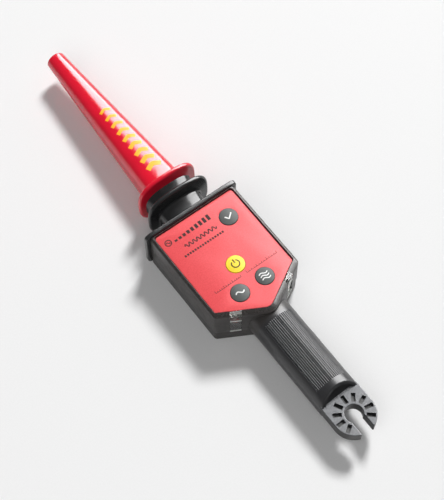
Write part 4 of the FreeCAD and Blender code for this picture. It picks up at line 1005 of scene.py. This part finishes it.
def root_fillet(y, outward):
    """Rings of the fillet where the neck leaves a plate; outward is 1 after a plate and -1 before it."""
    rings = []
    for turn in quarter(4):
        away = ROOT_RADIUS * (1 - math.cos(turn))
        rings.append(neck_ring(y + outward * away, ROOT_RADIUS * (1 - math.sin(turn))))
    return rings if outward > 0 else rings[::-1]


def build_neck():
    """Guard plate, neck and shed as one skin."""
    before_shed = (15.0, 17.0, 19.0, 20.5)
    after_shed = (29.0, 30.5, 32.0, 33.5, 35.0, CONE_LOW.y - 0.05)
    rings = plate_rings(GUARD_SHAPE, NECK_LOW.y, GUARD_THICK, GUARD_EDGE)
    rings += root_fillet(GUARD_END_Y, 1)
    rings += [neck_ring(y) for y in before_shed]
    rings += root_fillet(SHED_Y, -1)
    rings += plate_rings(SHED_SHAPE, SHED_Y, SHED_THICK, SHED_EDGE)
    rings += root_fillet(SHED_END_Y, 1)
    rings += [neck_ring(y) for y in after_shed]
    obj = loft("neck_and_shed", rings, 40.0)
    place(obj, BODY, "grip_black", MATERIALS["grip_black"], "neck_insulator")


SKIRT_THICK = 3.4
SKIRT_EDGE = 1.6
CONE_BASE_Y = CONE_LOW.y + SKIRT_THICK
CONE_TIP_Y = CONE_HIGH.y
TIP_RADIUS = 6.93
BASE_HALF = 14.6
BASE_HEIGHT = 15.0
BASE_POWER = 3.1
TIP_POWER = 2.0


def cone_size(y):
    """Half width, half height and squareness of the cone's section at y."""
    share = (y - CONE_BASE_Y) / (CONE_TIP_Y - CONE_BASE_Y)
    half = BASE_HALF + (TIP_RADIUS - BASE_HALF) * share
    tall = BASE_HEIGHT + (TIP_RADIUS - BASE_HEIGHT) * share
    power = BASE_POWER + (TIP_POWER - BASE_POWER) * share ** 1.2
    return half, tall, power


def cone_section(y, grow=0.0, at=None):
    """Section of the cone with the size it has at y, placed at another Y where one is given."""
    half, tall, power = cone_size(y)
    low, high = AXIS_Z - tall - grow, AXIS_Z + tall + grow
    return soft_section(half + grow, low, high, power, y if at is None else at)


def build_cone():
    """Cone with its skirt: rounded rim, flare and a long taper to a closed round tip."""
    flare, tip_edge, tip_squash, lengths = 3.4, 1.1, 0.9, 24
    rings = plate_rings(SKIRT_SHAPE, CONE_LOW.y, CONE_BASE_Y - CONE_LOW.y, SKIRT_EDGE, 7)
    for turn in quarter(6):
        rings.append(cone_section(CONE_BASE_Y + flare * (1 - math.cos(turn)), flare * (1 - math.sin(turn))))
    first = CONE_BASE_Y + flare
    last = CONE_TIP_Y - tip_edge
    for i in range(1, lengths + 1):
        rings.append(cone_section(first + (last - first) * i / lengths))
    for turn in quarter(5)[1:]:
        y = last + tip_edge * math.sin(turn) * tip_squash
        rings.append(cone_section(last, -tip_edge * (1 - math.cos(turn)), y))
    # the tip's face, very slightly domed: share of its radius left out, and distance below its top
    for share, below in ((0.6, 0.03), (0.95, 0.0)):
        rings.append(cone_section(last, -TIP_RADIUS * share, CONE_TIP_Y - below))
    cone = loft("cone_skin", rings, 40.0)
    place(cone, BODY, "cone_red", MATERIALS["cone_red"], "sensor_cone")


def on_cone(x, y, lift):
    """Point over the cone's upper side; a mark never reaches the very edge of the section."""
    widest = 0.98
    half, tall, power = cone_size(y)
    share = min(widest, abs(x) / half)
    z = tall * (1 - share ** power) ** (1 / power)
    return (x, y, AXIS_Z + z + lift)


def build_cone_marks():
    """Row of plain yellow chevrons that point to the tip and shrink with the cone."""
    count, first, last = 9, 53.0, 111.0
    arm, rise = 0.38, 0.5
    offset, offset_loss = 1.3, 0.7
    width, width_loss = 3.6, 1.5
    strokes = []
    for i in range(count):
        share = i / (count - 1)
        y = first + (last - first) * share
        reach = cone_size(y)[0] * arm
        nose = y + reach * rise
        middle = offset - offset_loss * share
        path = line_path(middle - reach, y, middle, nose) + line_path(middle, nose, middle + reach, y)[1:]
        strokes.append((path, width - width_loss * share))
    printed("cone_marks", strokes, on_cone, BODY, "key_yellow", MATERIALS["mark_yellow"], 0.06)


# ---------------------------------------------------------------- spline end

PLATE_Y = -161.4
PLATE_RADIUS = SPLINE_HIGH.x
BOLT_RADIUS = 6.1
SLOT_HALF = 4.75

# radial grooves: angles in degrees, lengths from the bolt's axis
TOOTH_COUNT = 9
TOOTH_FIRST = -41.5
TOOTH_PITCH = 31.8
TOOTH_MIDDLE = 10.65
TOOTH_HALF_LENGTH = 2.95
TOOTH_HALF_WIDTH = 1.38
TOOTH_DEPTH = 2.4
TOOTH_ROUND = 0.4


def plate_arc(radius, first, last, steps=40):
    """Arc about the bolt's axis, with angles in radians."""
    turns = [first + (last - first) * i / steps for i in range(steps + 1)]
    return [(radius * math.cos(turn), PLATE_Y + radius * math.sin(turn)) for turn in turns]


def spline_outline(shrink):
    """U-shaped plate outline with the bolt's hole and open slot."""
    tongue, mouth_turn, mouth_width, mouth_step, mouth_length = 2.5, 0.07, 0.35, 0.12, 0.9
    radius = PLATE_RADIUS - shrink
    slot = SLOT_HALF + shrink
    hole = BOLT_RADIUS + shrink
    tip_angle = math.asin(SLOT_HALF / radius)
    corner_y = PLATE_Y - radius * math.cos(tip_angle)
    side = [(radius, GRIP_END_Y + tongue)]
    side += plate_arc(radius, 0.0, mouth_turn - (math.pi / 2 - tip_angle))
    side += [(slot + mouth_width, corner_y + mouth_step), (slot, corner_y + mouth_length)]
    hole_angle = math.acos(slot / hole)
    other_side = [(-x, y) for x, y in reversed(side)]
    return side + plate_arc(hole, -hole_angle, math.pi + hole_angle) + other_side


def tooth_outline(angle):
    """Rounded rectangle of one radial groove."""
    along = Vector((math.cos(angle), math.sin(angle)))
    across = Vector((-along.y, along.x))
    centre = Vector((0, PLATE_Y)) + along * TOOTH_MIDDLE
    corners = []
    for a, b in ((-1, -1), (1, -1), (1, 1), (-1, 1)):
        p = centre + along * a * TOOTH_HALF_LENGTH + across * b * TOOTH_HALF_WIDTH
        corners.append((p.x, p.y, TOOTH_ROUND))
    return rounded(corners, 3)


def build_spline_end():
    """Slotted plate with radial grooves on both faces."""
    low, high = SPLINE_LOW.z, SPLINE_HIGH.z
    edge, half_edge, half_shrink, past = 0.45, 0.13, 0.16, 1.0
    levels = [
        (low, edge), (low + half_edge, half_shrink), (low + edge, 0.0),
        (high - edge, 0.0), (high - half_edge, half_shrink), (high, edge),
    ]
    plate = loft("spline_plate", [at_z(spline_outline(shrink), z) for z, shrink in levels])
    for i in range(TOOTH_COUNT):
        outline = tooth_outline(math.radians(TOOTH_FIRST + TOOTH_PITCH * i))
        for bottom, top in ((high - TOOTH_DEPTH, high + past), (low - past, low + TOOTH_DEPTH)):
            cut(plate, loft("groove", [at_z(outline, bottom), at_z(outline, top)]))
    smooth(plate, 18.0)
    # the plate's material paints shade into its grooves and part of the sheen onto its faces
    place(plate, BODY, "grip_black", MATERIALS["spline_plastic"], "spline_end")


# ---------------------------------------------------------------- stage, in metres

FLOOR_HALF = 3.0
WORLD_STRENGTH = 0.12
AIM = Vector((0.004245, -0.02075, 0.020))
AZIMUTH = math.radians(-36.396)
ELEVATION = math.radians(63.034)
ROLL = math.radians(-0.496)
CAMERA_DISTANCE = 0.844229
SENSOR_WIDTH = 36.0
LENS = 91.72
LENS_SHIFT = -0.0032
NEAREST = 0.05
LIGHTS = [
    # name, direction, distance, (width, height), power, lights surfaces, shows in reflections
    ("key", (0.72, 0.46, 1.0), 4.0, (0.85, 0.85), 158.0, True, False),
    ("fill", (-0.50, -0.30, 0.80), 2.0, (1.6, 1.6), 14.5, True, False),
    ("softbox", (0.72, 0.20, 0.60), 1.5, (2.2, 1.4), 125.0, False, True),
]


def build_floor():
    """Pale floor level with the object's back."""
    mesh = bpy.data.meshes.new("floor")
    corners = [(x * FLOOR_HALF, y * FLOOR_HALF, 0) for x, y in ((-1, -1), (1, -1), (1, 1), (-1, 1))]
    mesh.from_pydata(corners, [], [(0, 1, 2, 3)])
    floor = new_object("floor", mesh)
    paper = Nodes("floor_paper")
    paper.give(Base_Color=paper.ramp(paper.noise(900.0), 0.80, 0.82), Roughness=0.9, Specular_IOR_Level=0.1)
    floor.data.materials.append(paper.material)


def build_lights():
    """Even world light, and area lights that each light surfaces or show in reflections."""
    world = bpy.data.worlds.new("studio")
    bpy.context.scene.world = world
    world.use_nodes = True
    background = world.node_tree.nodes["Background"]
    background.inputs["Color"].default_value = (1.0, 1.0, 1.0, 1.0)
    background.inputs["Strength"].default_value = WORLD_STRENGTH

    for name, direction, distance, size, power, lights, shows in LIGHTS:
        light = bpy.data.lights.new(name, "AREA")
        light.shape = "RECTANGLE"
        light.size, light.size_y = size
        light.energy = power
        lamp = bpy.data.objects.new(name, light)
        bpy.context.scene.collection.objects.link(lamp)
        way = Vector(direction).normalized()
        lamp.location = AIM + way * distance
        lamp.rotation_euler = way.to_track_quat("Z", "Y").to_euler()
        lamp.visible_diffuse = lights
        lamp.visible_glossy = shows


def build_camera():
    """Camera on a line back from the aim, turned a little about that line."""
    level = math.cos(ELEVATION)
    back = Vector((math.sin(AZIMUTH) * level, -math.cos(AZIMUTH) * level, math.sin(ELEVATION)))
    right = Vector((math.cos(AZIMUTH), math.sin(AZIMUTH), 0))
    up = back.cross(right)
    tilted_right = right * math.cos(ROLL) + up * math.sin(ROLL)
    tilted_up = up * math.cos(ROLL) - right * math.sin(ROLL)
    camera_data = bpy.data.cameras.new("camera")
    camera_data.sensor_width = SENSOR_WIDTH
    camera_data.sensor_fit = "AUTO"
    camera_data.lens = LENS
    camera_data.shift_x = LENS_SHIFT
    camera_data.clip_start = NEAREST
    camera = bpy.data.objects.new("camera", camera_data)
    bpy.context.scene.collection.objects.link(camera)
    axes = Matrix((tilted_right, tilted_up, back)).transposed()
    camera.matrix_world = Matrix.Translation(AIM + back * CAMERA_DISTANCE) @ axes.to_4x4()
    bpy.context.scene.camera = camera


bpy.context.scene.view_settings.view_transform = "Standard"

dress_cad_nodes()
build_front_housing()
build_label()
build_label_marks()
build_keys()
build_key_marks()
build_neck()
build_cone()
build_cone_marks()
build_spline_end()
build_floor()
build_lights()
build_camera()
